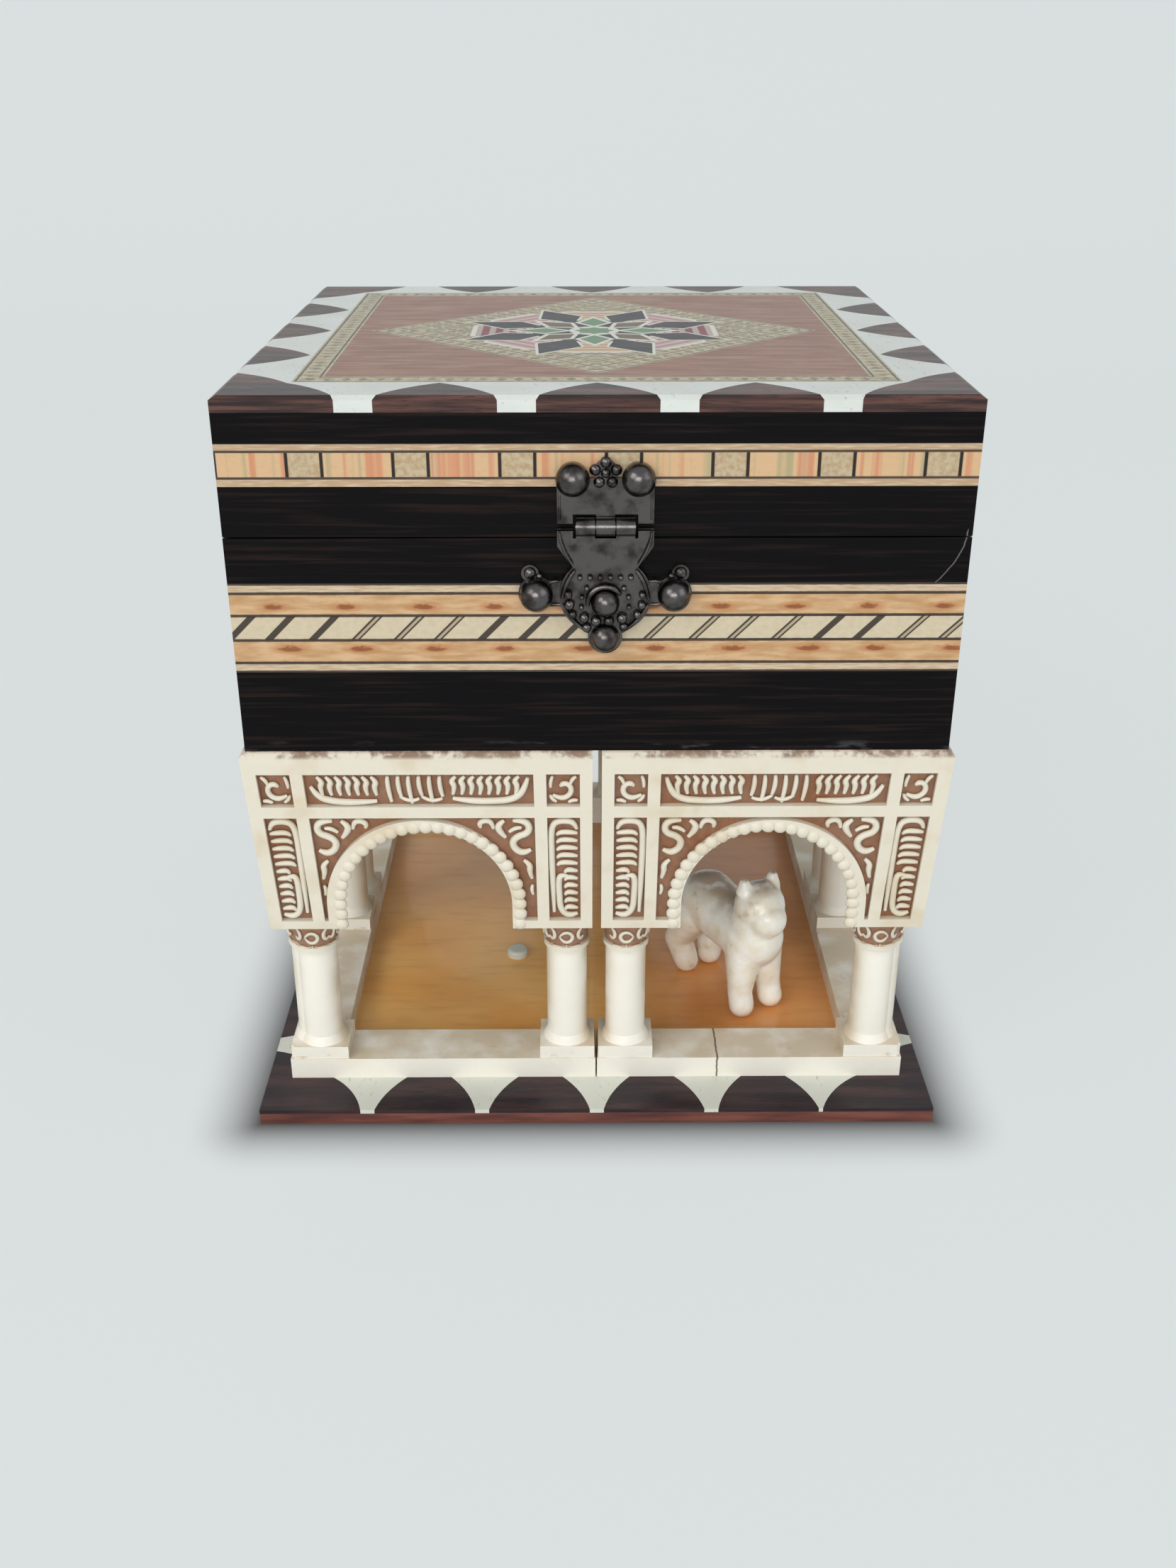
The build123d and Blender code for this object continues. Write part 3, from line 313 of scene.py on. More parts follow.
def soft_lamp(name, place, size, watts, colour):
    data = bpy.data.lights.new(name, "AREA")
    data.shape = "RECTANGLE"
    data.size = size[0]
    data.size_y = size[1]
    data.energy = watts
    data.color = colour
    lamp = bpy.data.objects.new(name, data)
    lamp.location = place
    aim = Vector((0, 0, 0.07)) - Vector(place)
    lamp.rotation_euler = aim.to_track_quat("-Z", "Y").to_euler()
    bpy.context.scene.collection.objects.link(lamp)
    return lamp


world = bpy.data.worlds.new("studio")
world.use_nodes = True
world.node_tree.nodes["Background"].inputs["Color"].default_value = WORLD_COLOUR
world.node_tree.nodes["Background"].inputs["Strength"].default_value = WORLD_LEVEL
bpy.context.scene.world = world
window = soft_lamp("window", (-1.15, -1.05, 1.15), (0.9, 0.9), 9.0, (1.0, 0.98, 0.95))
front = soft_lamp("front", (-0.15, -1.25, 0.5), (0.9, 0.5), 6.2, (1.0, 0.98, 0.96))
room = soft_lamp("room", (1.1, -0.7, 0.8), (0.9, 0.9), 2.8, (0.96, 0.98, 1.0))
print("lamps", window.data.energy, front.data.energy, room.data.energy)

# %% [markdown]
# The walls of the box are black lacquered wood. Close up the black is not even: brown grain shows
# faintly through it, in long streaks along the wall, and the gloss is broken by fine ripples. The grain
# is stretched noise. It follows each wall's length, because the way that a face looks tells which way
# its wall runs.

# %% Black lacquer
LACQUER = paint(9, 8, 10)
LACQUER_GRAIN = paint(46, 32, 28)


def along_wall(finish):
    """How far the spot lies along its wall: x on the front and back, y on the sides."""
    x, y, z = finish.place()
    facing = finish.node("ShaderNodeNewGeometry", output="True Normal")
    axes = finish.node("ShaderNodeSeparateXYZ", sockets={0: facing})
    sideways = finish.step(abs(axes.other("X")) - abs(axes.other("Y")), -0.05, 0.05)
    return x * (1.0 - sideways) + y * sideways, sideways


def lacquer_finish():
    wood = Finish("black lacquer")
    x, y, z = wood.place()
    along, sideways = along_wall(wood)
    streaks = wood.noise(along * 0.035, (x + y) * 0.02, z * 1.3, 5.0)
    fine = wood.noise(along * 0.25, y * 0.1, z * 5.0, 2.0)
    grain = wood.step(streaks, 0.46, 0.72) * (0.35 + 0.65 * fine)
    base = wood.mix(grain * 0.75, LACQUER, LACQUER_GRAIN)
    # Dull grey rubbing in places along the lower edge of the box
    edge = wood.step(z, box_z + 2.2, box_z) * wood.step(wood.noise(along * 0.09, 3.0, z * 0.4), 0.55, 0.72)
    base = wood.mix(edge * 0.5, base, paint(150, 150, 152))
    # A hair-fine pale scratch that curves down from the lid's seam near the right end of the front
    curve = 59.1 - 0.16 * (parting_z - z) - 0.055 * (parting_z - z) * (parting_z - z)
    wander = 0.5 * wood.noise(2.0, z * 0.8, 4.0) - 0.25
    scratch = wood.step(abs(x - curve - wander), 0.16, 0.05) * wood.step(y, -box_half + 0.2, -box_half + 0.1)
    scratch = scratch * wood.between(z, parting_z - 8.5, parting_z + 1.2, 0.4)
    base = wood.mix(scratch * 0.3, base, paint(170, 168, 164))
    ripple = wood.noise(along * 0.12, 0.0, z * 0.5, 2.0)
    return wood.done(base, 0.26 + 0.16 * fine, ripple * 0.7 + fine * 0.3, 0.00008, Specular_IOR_Level=0.09)


lacquer = lacquer_finish()
for side in ("front", "back", "left", "right"):
    wear("body_wall_" + side, lacquer)
    wear("lid_wall_" + side, lacquer)
wear("box_floor", lacquer)

# %% [markdown]
# Two bands of inlaid strips run round the box. Each is a ribbon sold by the metre: thin veneers of
# lemon wood, dyed wood and ebony glued in a pack and sawn. The lower one has an amber stripe with brown
# flames above and below a row of slanting ebony lines; the upper one has long striped blocks and short
# plain ones between dark separators. A ribbon is flat, so it is drawn as a pattern over the solid strip
# and not built up.

# %% Inlaid strips
LEMON = paint(200, 182, 156)
AGED_LEMON = paint(174, 146, 114)
PALE_WOOD = paint(206, 194, 170)
DULL_WOOD = paint(184, 168, 138)
AMBER = paint(178, 138, 94)
PALE_AMBER = paint(202, 168, 128)
HALO_BROWN = paint(176, 116, 68)
FLAME = paint(128, 68, 34)
EBONY = paint(34, 24, 20)
SAGE = paint(164, 154, 118)
CORAL = paint(196, 134, 98)
ROPE_STEP = 6.9
ROPE_SLOPE = 1.0
FLAME_STEP = 12.2
BLOCK_STEP = 16.7
LONG_BLOCK = 11.2

# %% [markdown]
# Flames and slanting bars repeat along a ribbon at their own steps. A steady random number for each
# copy moves or splits it a little, because copies that are all alike look printed.

# %% Rows that repeat on a ribbon
def flame_row(wood, along, h, stripe, first, height):
    """Flames in a row on a stripe: a dark tongue in a wider soft halo, at an uneven pace."""
    cell = wood.maths("FLOOR", (along - first) / FLAME_STEP)
    luck = wood.chance(cell, height)
    centre = FLAME_STEP * 0.5 + 1.6 * (luck - 0.5)
    dx = (along - first - cell * FLAME_STEP - centre) / (2.2 + 0.9 * luck)
    ragged = wood.noise(along * 1.1, h * 2.2, height, 3.0) - 0.5
    dz = (h - height + 0.5 * ragged) / 0.72
    far = dx * dx + dz * dz + 0.9 * ragged
    stripe = wood.blend(far, 2.2, 0.3, stripe, HALO_BROWN, 0.6)
    return wood.blend(far, 0.62, 0.1, stripe, FLAME, 0.85)


def rope_row(wood, slant, mottled):
    """Slanting ebony bars on pale wood; some are split by a paler streak."""
    cell = wood.maths("FLOOR", slant / ROPE_STEP)
    within = slant - cell * ROPE_STEP
    luck = wood.chance(cell, 3.0)
    middle = 3.3 + 0.8 * (luck - 0.5)
    bar = wood.step(abs(within - middle), 0.80, 0.66)
    split = wood.step(wood.chance(cell, 7.0), 0.35, 0.4)
    streak = wood.step(abs(within - middle - 0.05), 0.36, 0.22) * split
    ground = wood.mix(mottled, PALE_WOOD, DULL_WOOD)
    rope = wood.mix(bar * 0.93, ground, EBONY)
    return wood.mix(streak * bar * 0.8, rope, DULL_WOOD)


def lemon_ground(wood, along, z, seed, start, end):
    grain = wood.noise(along * 0.3, seed, z * 3.0, 3.0)
    return wood.blend(grain, start, end, LEMON, AGED_LEMON)


def ruled(wood, base, h, centres, wide, thin, share):
    """Thin ebony lines along a ribbon, at the given heights."""
    lines = 0.0
    for centre in centres:
        lines = wood.maths("MAXIMUM", lines, wood.step(abs(h - centre), wide, thin))
    return wood.mix(lines * share, base, EBONY)

# %% [markdown]
# The colour of a ribbon follows from two numbers: how far along the wall the spot lies, and how high
# over the box's underside. The rows are laid over the pale ground one after another.

# %% The two ribbons
def lower_ribbon(wood, along, z):
    """Colour of the wide band, from its height over the box's underside."""
    h = z - box_z
    mottled = wood.noise(along * 0.9, 8.0, z * 1.2, 4.0)
    base = lemon_ground(wood, along, z, 7.0, 0.3, 0.75)
    across = wood.noise(along * 0.16, 2.0, z * 0.9, 2.0)
    stripe = wood.blend(across, 0.3, 0.7, PALE_AMBER, AMBER)
    stripe = wood.blend(mottled, 0.56, 0.76, stripe, HALO_BROWN, 0.35)
    lower = flame_row(wood, along, h, stripe, -57.3, 18.5)
    upper = flame_row(wood, along, h, stripe, -58.8, 25.8)
    base = wood.mix(wood.between(h, 16.2, 19.9), base, lower)
    base = wood.mix(wood.between(h, 24.5, 28.0), base, upper)
    rope = rope_row(wood, along - (h - 22.1) * ROPE_SLOPE, mottled)
    base = wood.mix(wood.between(h, 20.2, 24.2), base, rope)
    wobble = 0.1 * mottled
    lines = (14.5, 16.1, 20.05, 24.3, 28.1, 29.7)
    return ruled(wood, base, h, lines, 0.27 + wobble, 0.12 + wobble, 0.93)


def upper_ribbon(wood, along, z):
    """Colour of the narrow band on the lid, from its height over the box's underside."""
    h = z - box_z
    mottled = wood.noise(along * 1.1, 3.0, z * 1.1, 4.0)
    base = lemon_ground(wood, along, z, 9.0, 0.2, 0.6)
    place = along + box_half
    cell = wood.maths("FLOOR", place / BLOCK_STEP)
    within = place - cell * BLOCK_STEP
    short = wood.step(within, LONG_BLOCK - 0.05, LONG_BLOCK + 0.05)
    tint = wood.noise(along * 0.42, cell * 3.7, 1.0, 2.0)
    stripes = wood.blend(tint, 0.32, 0.44, SAGE, PALE_AMBER)
    stripes = wood.blend(tint, 0.52, 0.64, stripes, CORAL)
    stripes = wood.blend(tint, 0.64, 0.72, stripes, DULL_WOOD)
    plain = wood.blend(mottled, 0.35, 0.7, DULL_WOOD, paint(168, 142, 106))
    blocks = wood.mix(short, stripes, plain)
    blocks = wood.blend(mottled, 0.5, 0.78, blocks, AGED_LEMON, 0.35)
    ends = wood.maths("MINIMUM", within, BLOCK_STEP - within)
    ends = wood.maths("MINIMUM", abs(within - LONG_BLOCK), ends)
    blocks = wood.blend(ends, 0.38, 0.18, blocks, EBONY)
    base = wood.mix(wood.between(h, 47.2, 51.1), base, blocks)
    return ruled(wood, base, h, (45.4, 47.05, 51.25, 52.6), 0.28, 0.12, 0.9)


def ribbon_finish(name, ribbon):
    wood = Finish(name)
    x, y, z = wood.place()
    along, sideways = along_wall(wood)
    colour = ribbon(wood, along, z)
    pores = wood.noise(along * 0.9, y * 0.5, z * 6.0, 2.0)
    return wood.done(colour, 0.34 + 0.1 * pores, pores, 0.00003, Specular_IOR_Level=0.3, Coat_Weight=0.1,
                     Coat_Roughness=0.15)


wear("body_inlay_strips", ribbon_finish("wide inlaid ribbon", lower_ribbon))
wear("lid_inlay_strips", ribbon_finish("narrow inlaid ribbon", upper_ribbon))

# %% [markdown]
# The leaves round the lid and the base are rosewood, dark and reddish with fine dark pores along the
# grain. The pieces between them are bone: nearly white, with cloudy patches and tiny grey pores. Both
# are polished flush under one lacquer, so they share its gloss.

# %% Rosewood, bone and plain woods
def rosewood_finish():
    wood = Finish("rosewood")
    x, y, z = wood.place()
    bands = wood.noise(x * 0.05, y * 0.35, z * 1.2, 5.0)
    pores = wood.noise(x * 0.35, y * 2.6, z * 4.0, 2.0)
    base = wood.blend(bands, 0.35, 0.68, paint(44, 33, 32), paint(98, 66, 58))
    base = wood.blend(pores, 0.58, 0.70, base, paint(30, 22, 21), 0.6)
    low = wood.step(z, box_z, court_z)
    base = wood.mix(low * 0.65, base, paint(42, 36, 42))
    return wood.done(base, 0.3 + 0.12 * pores, pores, 0.00004, Specular_IOR_Level=0.22, Coat_Weight=0.06,
                     Coat_Roughness=0.1)


def bone_finish():
    bone = Finish("polished bone")
    x, y, z = bone.place()
    clouds = bone.noise(x * 0.09, y * 0.09, z * 0.2, 4.0)
    pores = bone.noise(x * 1.4, y * 0.5, z * 1.4, 2.0)
    base = bone.mix(clouds, paint(220, 225, 221), paint(192, 194, 186))
    base = bone.blend(z, box_z, court_z, base, paint(214, 214, 196), 0.5)
    base = bone.blend(pores, 0.62, 0.76, base, paint(150, 142, 122), 0.45)
    return bone.done(base, 0.3 + 0.08 * clouds, pores, 0.00003, Subsurface_Weight=0.06,
                     Subsurface_Radius=(0.002, 0.0015, 0.001), Specular_IOR_Level=0.35, Coat_Weight=0.1,
                     Coat_Roughness=0.1)


def plain_wood(name, dark, light, roughness, coat):
    wood = Finish(name)
    x, y, z = wood.place()
    bands = wood.noise(x * 0.05, y * 0.5, z * 0.5, 5.0)
    pores = wood.noise(x * 0.4, y * 3.0, z * 3.0, 2.0)
    base = wood.blend(bands, 0.3, 0.7, dark, light)
    base = wood.blend(pores, 0.6, 0.72, base, dark, 0.35)
    return wood.done(base, roughness + 0.08 * pores, pores, 0.00003, Coat_Weight=coat, Coat_Roughness=0.12)


rosewood = rosewood_finish()
bone = bone_finish()
for place in ("lid", "base"):
    wear(place + "_border_rosewood", rosewood)
    wear(place + "_border_bone", bone)
wear("floor_peg", bone)
wear("base_board", plain_wood("base board", paint(82, 44, 38), paint(126, 74, 62), 0.45, 0.1))
wear("lid_backing", plain_wood("lid backing", paint(120, 78, 50), paint(160, 112, 76), 0.5, 0.0))
wear("compartment_divider", plain_wood("divider wood", paint(96, 52, 34), paint(140, 84, 56), 0.4, 0.2))

# %% [markdown]
# The court's floor is a warm orange-brown veneer under thick gloss, which mirrors the columns. Its
# figure is cloudy, with soft darker ripples, and the sheet is redder and a little darker in the right
# half. Towards the back, deeper under the box, it is darkened further as painted shade.

# %% Floor of the court
def court_finish():
    wood = Finish("court floor")
    x, y, z = wood.place()
    clouds = wood.noise(x * 0.035, y * 0.045, 2.0, 3.0)
    ripples = wood.noise(x * 0.10, y * 0.45, 1.0, 3.0)
    pale = wood.blend(clouds, 0.3, 0.7, paint(238, 170, 88), paint(248, 192, 114))
    red = wood.blend(clouds, 0.3, 0.7, paint(220, 146, 78), paint(230, 162, 96))
    base = wood.blend(x + 10.0 * clouds, 2.0, 26.0, pale, red)
    # Painted shade: darker and more purple towards the back of the court, deeper under the box
    base = wood.blend(y, -10.0, 40.0, base, paint(168, 118, 92), 0.45)
    base = wood.blend(ripples, 0.45, 0.8, base, paint(150, 92, 52), 0.22)
    return wood.done(base, 0.26 + 0.1 * ripples, clouds, 0.00012, Specular_IOR_Level=0.4, Coat_Weight=0.3,
                     Coat_Roughness=0.06)


wear("patio_floor", court_finish())

# %% [markdown]
# The top of the lid is marquetry. From the outside in: the leaf border, a narrow mosaic band between
# dark lines, a field of red-brown wood, and a lozenge with a mosaic rim and an eight-pointed star of
# black, white, green and red pieces. A star of this kind repeats eight times round its centre, so the
# spot is first folded into one slice of a sixteenth of the circle. A few straight lines in that slice
# then draw the whole star.

# %% Mosaic band, field and star
STRAW = paint(164, 152, 122)
PALE_STRAW = paint(194, 184, 156)
OLIVE = paint(104, 92, 70)
NIGHT = paint(40, 36, 40)
MINT = paint(104, 138, 104)
MILK = paint(214, 212, 200)
RED = paint(128, 56, 66)
ROSE = paint(176, 132, 132)
HONEY = paint(188, 148, 104)
FIELD_DARK = paint(132, 92, 74)
FIELD_LIGHT = paint(162, 124, 104)
STAR_SIZE = 1.16


def mosaic_rim(wood, along, across, width):
    """A rim of straw-coloured mosaic: dark lines at its edges and two rows of small dark pieces inside."""
    speck = wood.chance(wood.maths("FLOOR", along / 0.9), wood.maths("FLOOR", across / 0.9))
    base = wood.mix(speck, STRAW, PALE_STRAW)
    row = wood.between(across, width * 0.24, width * 0.76, 0.05)
    wave = wood.maths("PINGPONG", along, 1.4) / 1.4
    middle = abs(across - width * 0.5) / (width * 0.26)
    dashes = wood.step(wave - middle * 0.55, 0.30, 0.42) * row
    base = wood.mix(dashes * 0.7 * wood.step(speck, 0.1, 0.5), base, wood.mix(speck, NIGHT, OLIVE))
    lines = wood.step(abs(across - width * 0.12), 0.26, 0.14)
    lines = wood.maths("MAXIMUM", lines, wood.step(abs(across - width * 0.88), 0.26, 0.14))
    return wood.mix(lines * 0.8, base, NIGHT)


def field_drawing(wood, x, y):
    bands = wood.noise(x * 0.07, y * 0.6, 4.0, 5.0)
    pores = wood.noise(x * 0.5, y * 3.5, 2.0, 2.0)
    base = wood.blend(bands, 0.3, 0.72, FIELD_DARK, FIELD_LIGHT)
    return wood.blend(pores, 0.58, 0.7, base, paint(98, 64, 52), 0.4)

# %% [markdown]
# The star is made of kites: long black ones for its points, short pale ones for the rosette in the
# middle, and wide ones between the points. One function says how far a spot lies inside a kite, so a
# pale rim round a piece is the same kite, a little larger.

# %% The star
def kite(wood, along, aside, inner, outer, slope_in, slope_out):
    """How far a spot lies inside a kite whose two points are at inner and outer, negative outside."""
    narrow_out = (outer - along) * slope_out
    narrow_in = (along - inner) * slope_in
    return wood.maths("MINIMUM", narrow_out, narrow_in) - aside


def star_pattern(wood, x, y, base):
    """The star of pieces, laid over base: eight black kites, gores between them and a rosette inside."""
    x = x / STAR_SIZE
    y = y / STAR_SIZE
    radius = wood.maths("SQRT", x * x + y * y)
    angle = wood.maths("ARCTAN2", y, x) + math.pi
    fold = wood.maths("PINGPONG", angle, math.pi / 8.0)
    p = radius * wood.maths("COSINE", fold)
    q = radius * wood.maths("SINE", fold)
    tip_along = p * math.cos(math.pi / 8.0) + q * math.sin(math.pi / 8.0)
    tip_aside = p * math.sin(math.pi / 8.0) - q * math.cos(math.pi / 8.0)
    quarter = wood.maths("PINGPONG", angle, math.pi / 4.0)
    half = wood.maths("PINGPONG", angle, math.pi / 2.0)
    diagonal = wood.step(half, 0.38, 0.42) * wood.step(half, 1.19, 1.15)
    sideways = wood.step(abs(x) - abs(y), -0.1, 0.1)
    gore = wood.mix(sideways, HONEY, RED)
    gore = wood.mix(diagonal, gore, ROSE)
    gore = wood.blend(wood.maths("PINGPONG", p, 1.1), 0.5, 0.7, gore, MILK, 0.5)
    gore_inside = kite(wood, p, q, 9.0, 27.0, 1.0, 0.62)
    colour = wood.mix(wood.step(gore_inside, -0.5, -0.4) * wood.step(p, 20.0, 19.8), base, MILK)
    colour = wood.mix(wood.step(gore_inside, 0.0, 0.1) * wood.step(p, 19.2, 19.0), colour, gore)
    black = kite(wood, tip_along, tip_aside, 8.5, 22.4, 0.62, 0.46)
    colour = wood.blend(black, -0.55, -0.45, colour, MILK)
    colour = wood.blend(black, -0.05, 0.05, colour, NIGHT)
    petal = kite(wood, p, q, 3.4, 14.2, 0.7, 0.5)
    colour = wood.blend(radius, 10.4, 10.2, colour, NIGHT)
    colour = wood.blend(petal, -0.1, 0.0, colour, MILK)
    inside = wood.blend(quarter, 0.3, 0.4, MINT, OLIVE)
    colour = wood.blend(petal, 0.75, 0.85, colour, inside)
    colour = wood.blend(radius, 4.2, 4.0, colour, MILK)
    return wood.blend(p + q, 3.4, 3.2, colour, MINT)

# %% [markdown]
# Band, field and lozenge share one polish, and each has its own drawing. The band is measured from the
# sides of a square, and the lozenge from those of a square that stands on its corner.

# %% Band, field and lozenge on the lid
def square_distance(wood, x, y):
    """Distance from the centre measured to the sides of a square, and the place along its side."""
    ax = abs(x)
    ay = abs(y)
    side = wood.step(ax - ay, -0.02, 0.02)
    outward = wood.maths("MAXIMUM", ax, ay)
    along = x * (1.0 - side) + y * side
    return outward, along


def top_finish(name, drawing):
    wood = Finish(name)
    x, y, z = wood.place()
    colour = drawing(wood, x, y)
    ripple = wood.noise(x * 0.2, y * 0.2, 1.0, 3.0)
    return wood.done(colour, 0.34 + 0.12 * ripple, ripple, 0.00006, Specular_IOR_Level=0.25,
                     Coat_Weight=0.06, Coat_Roughness=0.14)


band_inner = 44.4
band_outer = 49.0
lozenge_half = reach("lid_star_lozenge")[1].x


def band_drawing(wood, x, y):
    outward, along = square_distance(wood, x, y)
    return mosaic_rim(wood, along, outward - band_inner, band_outer - band_inner)


def lozenge_drawing(wood, x, y):
    rim = 4.4
    across = (lozenge_half - abs(x) - abs(y)) * math.sqrt(0.5)
    along = (abs(x) - abs(y)) * math.sqrt(0.5)
    ground = mosaic_rim(wood, along, wood.maths("PINGPONG", across + 1.0, rim), rim)
    outer = mosaic_rim(wood, along, across, rim)
    colour = wood.blend(across, rim, rim + 0.1, outer, ground)
    return star_pattern(wood, x, y, colour)


wear("lid_mosaic_band", top_finish("mosaic band", band_drawing))
wear("lid_field", top_finish("red-brown field", field_drawing))
wear("lid_star_lozenge", top_finish("star lozenge", lozenge_drawing))

# %% [markdown]
# The arcade is cast resin, coloured like old ivory. A brown wash was brushed over the casting and wiped
# off, so it stays in the sunk panels and the hollows. On the real casting the wash follows depth, so
# the finish does the same: it measures how far the spot lies behind the sloping face of its block and
# turns brown at the panels' floor.

# %% Ivory resin with its brown wash
IVORY = paint(218, 211, 193)
IVORY_WARM = paint(196, 174, 134)
WASH = paint(154, 92, 46)
WASH_DEEP = paint(98, 56, 28)
PANEL_START = 0.8         # the panels' floor lies between these depths behind the face
PANEL_END = 1.6
NECK_R = 3.75             # a column's neck, under its capital
BELL_R = 4.4              # the capital's bell at its top
CAPITAL_TOP = box_z - block_h - 0.6
COLUMN_LINE = 53.2        # the columns' distance from the middle of the box
INNER_COLUMN = 5.5        # places of a module's two columns along its side
OUTER_COLUMN = 52.1


def depth_behind_face(finish):
    """Millimetres behind the arcade's sloping face, for a spot of any of the four sides."""
    x, y, z = finish.place()
    outward = finish.maths("MAXIMUM", abs(x), abs(y))
    return arcade_half - (box_z - z) * math.tan(lean) - outward


def capital_wash(finish, x, y, z):
    """1 on the bells of the capitals, 0 on the leaves that stand out from them."""
    outer = finish.maths("MAXIMUM", abs(x), abs(y)) - COLUMN_LINE
    inner = finish.maths("MINIMUM", abs(x), abs(y))
    aside = inner - (INNER_COLUMN + (OUTER_COLUMN - INNER_COLUMN) * finish.step(inner, 28.0, 29.0))
    radial = finish.maths("SQRT", outer * outer + aside * aside)
    down = CAPITAL_TOP - z
    behind = finish.step(radial - (BELL_R - 0.14 * down), 0.36, 0.16)
    return finish.between(down, 0.0, 4.5, 0.15) * behind


def ivory_finish():
    resin = Finish("cast ivory resin")
    x, y, z = resin.place()
    depth = depth_behind_face(resin)
    facing = resin.node("ShaderNodeNewGeometry", output="True Normal")
    axes = resin.node("ShaderNodeSeparateXYZ", sockets={0: facing})
    outward = resin.maths("MAXIMUM", abs(axes.other("X")), abs(axes.other("Y")))
    block = resin.step(z, box_z - block_h - 0.2, box_z - block_h + 0.4)
    clouds = resin.clouds(0.12)
    fine = resin.clouds(0.9)
    base = resin.blend(clouds, 0.45, 0.75, IVORY, IVORY_WARM, 0.45)
    sunk = resin.between(depth, PANEL_START, PANEL_END, 0.25) * block * resin.step(outward, 0.5, 0.9)
    wash = resin.mix(fine, WASH, WASH_DEEP)
    base = resin.mix(sunk * (0.8 + 0.2 * clouds), base, wash)
    base = resin.mix(capital_wash(resin, x, y, z) * 0.85, base, wash)
    # Painted light: the columns and sills are paler than the block; painted shade, yellow, on the columns'
    # sides
    below = resin.step(z, box_z - block_h - 5.0, box_z - block_h - 8.0)
    base = resin.mix(below * 0.75, base, paint(240, 237, 226))
    painted_side_shade = below * resin.step(abs(axes.other("Y")), 0.95, 0.3) * resin.step(clouds, 0.25, 0.6)
    base = resin.mix(painted_side_shade * 0.55, base, paint(186, 158, 112))
    # Dark brown in places along the top edge of the block, and a few stains on the sills
    seam = resin.step(z, box_z - 1.3, box_z - 0.6) * resin.step(clouds * 0.6 + fine * 0.4, 0.42, 0.58)
    base = resin.mix(seam * 0.75, base, WASH_DEEP)
    spots = resin.noise(x * 0.3, y * 0.3, z * 0.6, 3.0)
    stain = resin.between(z, court_z + 4.3, court_z + 5.6, 0.4) * resin.step(spots, 0.62, 0.74)
    base = resin.mix(stain * 0.5, base, paint(176, 136, 84))
    # One crack across the sill at the front right
    crack_x = 23.0 + 0.5 * (fine - 0.5)
    crack = resin.step(abs(x - crack_x), 0.24, 0.10) * resin.step(y, -47.0, -48.0) * resin.step(z, 7.7, 7.5)
    base = resin.mix(crack * 0.85, base, paint(92, 58, 44))
    return resin.done(base, 0.42 + 0.14 * fine, fine, 0.00006, Subsurface_Weight=0.08,
                      Subsurface_Radius=(0.003, 0.002, 0.001))


cast_ivory = ivory_finish()
for node in sorted(nodes):
    if node.startswith("arcade_"):
        wear(node, cast_ivory)

# %% [markdown]
# The metals: the clasp is cast zinc with a dark bronze plating; the hinges and most of the movement are
# brass; the comb, spring, screws and key are steel. Grime is noise, and bright rims are left to the
# light.

# %% Metals, felt and clear cover
def metal_finish(name, colour, grime, roughness):
    metal = Finish(name)
    x, y, z = metal.place()
    blotch = metal.clouds(0.35, 4.0)
    fine = metal.clouds(2.2, 2.0)
    base = metal.blend(blotch, 0.42, 0.7, colour, grime)
    return metal.done(base, roughness + 0.16 * blotch, fine, 0.00003, Metallic=1.0)


bronze = metal_finish("dark bronze plate", paint(98, 95, 94), paint(60, 56, 54), 0.18)
brass = metal_finish("lacquered brass", paint(206, 172, 104), paint(158, 122, 66), 0.24)
steel = metal_finish("polished steel", paint(188, 190, 192), paint(150, 150, 152), 0.22)
BRONZE_NODES = ("clasp_catch", "clasp_catch_nails", "clasp_hinge_plate", "clasp_plate_nails", "clasp_pin",
                "clasp_flap")
BRASS_NODES = ("hinge_leaves_body", "hinge_leaves_lid", "hinge_pins", "hinge_nails_body", "hinge_nails_lid",
               "movement_bedplate", "spring_barrel", "music_cylinder", "cylinder_gears", "crown_wheel",
               "governor_wheel", "governor_frame")
STEEL_NODES = ("tuned_comb", "movement_screws", "mainspring", "governor_fan", "stop_pin", "winding_key")
for names, metal in ((BRONZE_NODES, bronze), (BRASS_NODES, brass), (STEEL_NODES, steel)):
    for node in names:
        wear(node, metal)


def clear_finish():
    clear = Finish("clear cover")
    x, y, z = clear.place()
    haze = clear.noise(x * 0.1, y * 0.1, 0.0, 3.0)
    return clear.close(clear.surface(Base_Color=paint(238, 242, 244), Roughness=0.05 + 0.08 * haze,
                                     Alpha=0.22 + 0.06 * haze, Specular_IOR_Level=0.6))


def felt_finish():
    felt = Finish("red felt")
    x, y, z = felt.place()
    nap = felt.clouds(1.6, 4.0)
    drift = felt.clouds(0.08, 2.0)
    base = felt.mix(nap * 0.6 + drift * 0.4, paint(98, 14, 20), paint(150, 34, 38))
    return felt.done(base, 0.95, nap, 0.0003, Sheen_Weight=0.4, Sheen_Roughness=0.5)


red_felt = felt_finish()
wear("movement_cover", clear_finish())

# %% [markdown]
# The carving is what makes the arcade. On the real casting every stroke is a rounded ridge that stands
# on the brown floor of a sunk panel, so each one is made the same way: a few points on the sloping
# face, a smooth spline through them and a round section that thins out at the ends. What repeats is
# left to Geometry Nodes: one tree sets round lobes along a line, and another sets one finished module
# eight times round the ring, every second one mirrored.

# %% Tools for carving
def linked(name, data):
    """A new object in the scene, at the world's origin."""
    made = bpy.data.objects.new(name, data)
    bpy.context.scene.collection.objects.link(made)
    return made


def kept_mesh(worker):
    """A worker's finished shape as a plain mesh; the worker itself goes."""
    mesh = bpy.data.meshes.new_from_object(worker.evaluated_get(bpy.context.evaluated_depsgraph_get()))
    bpy.data.objects.remove(worker)
    return mesh


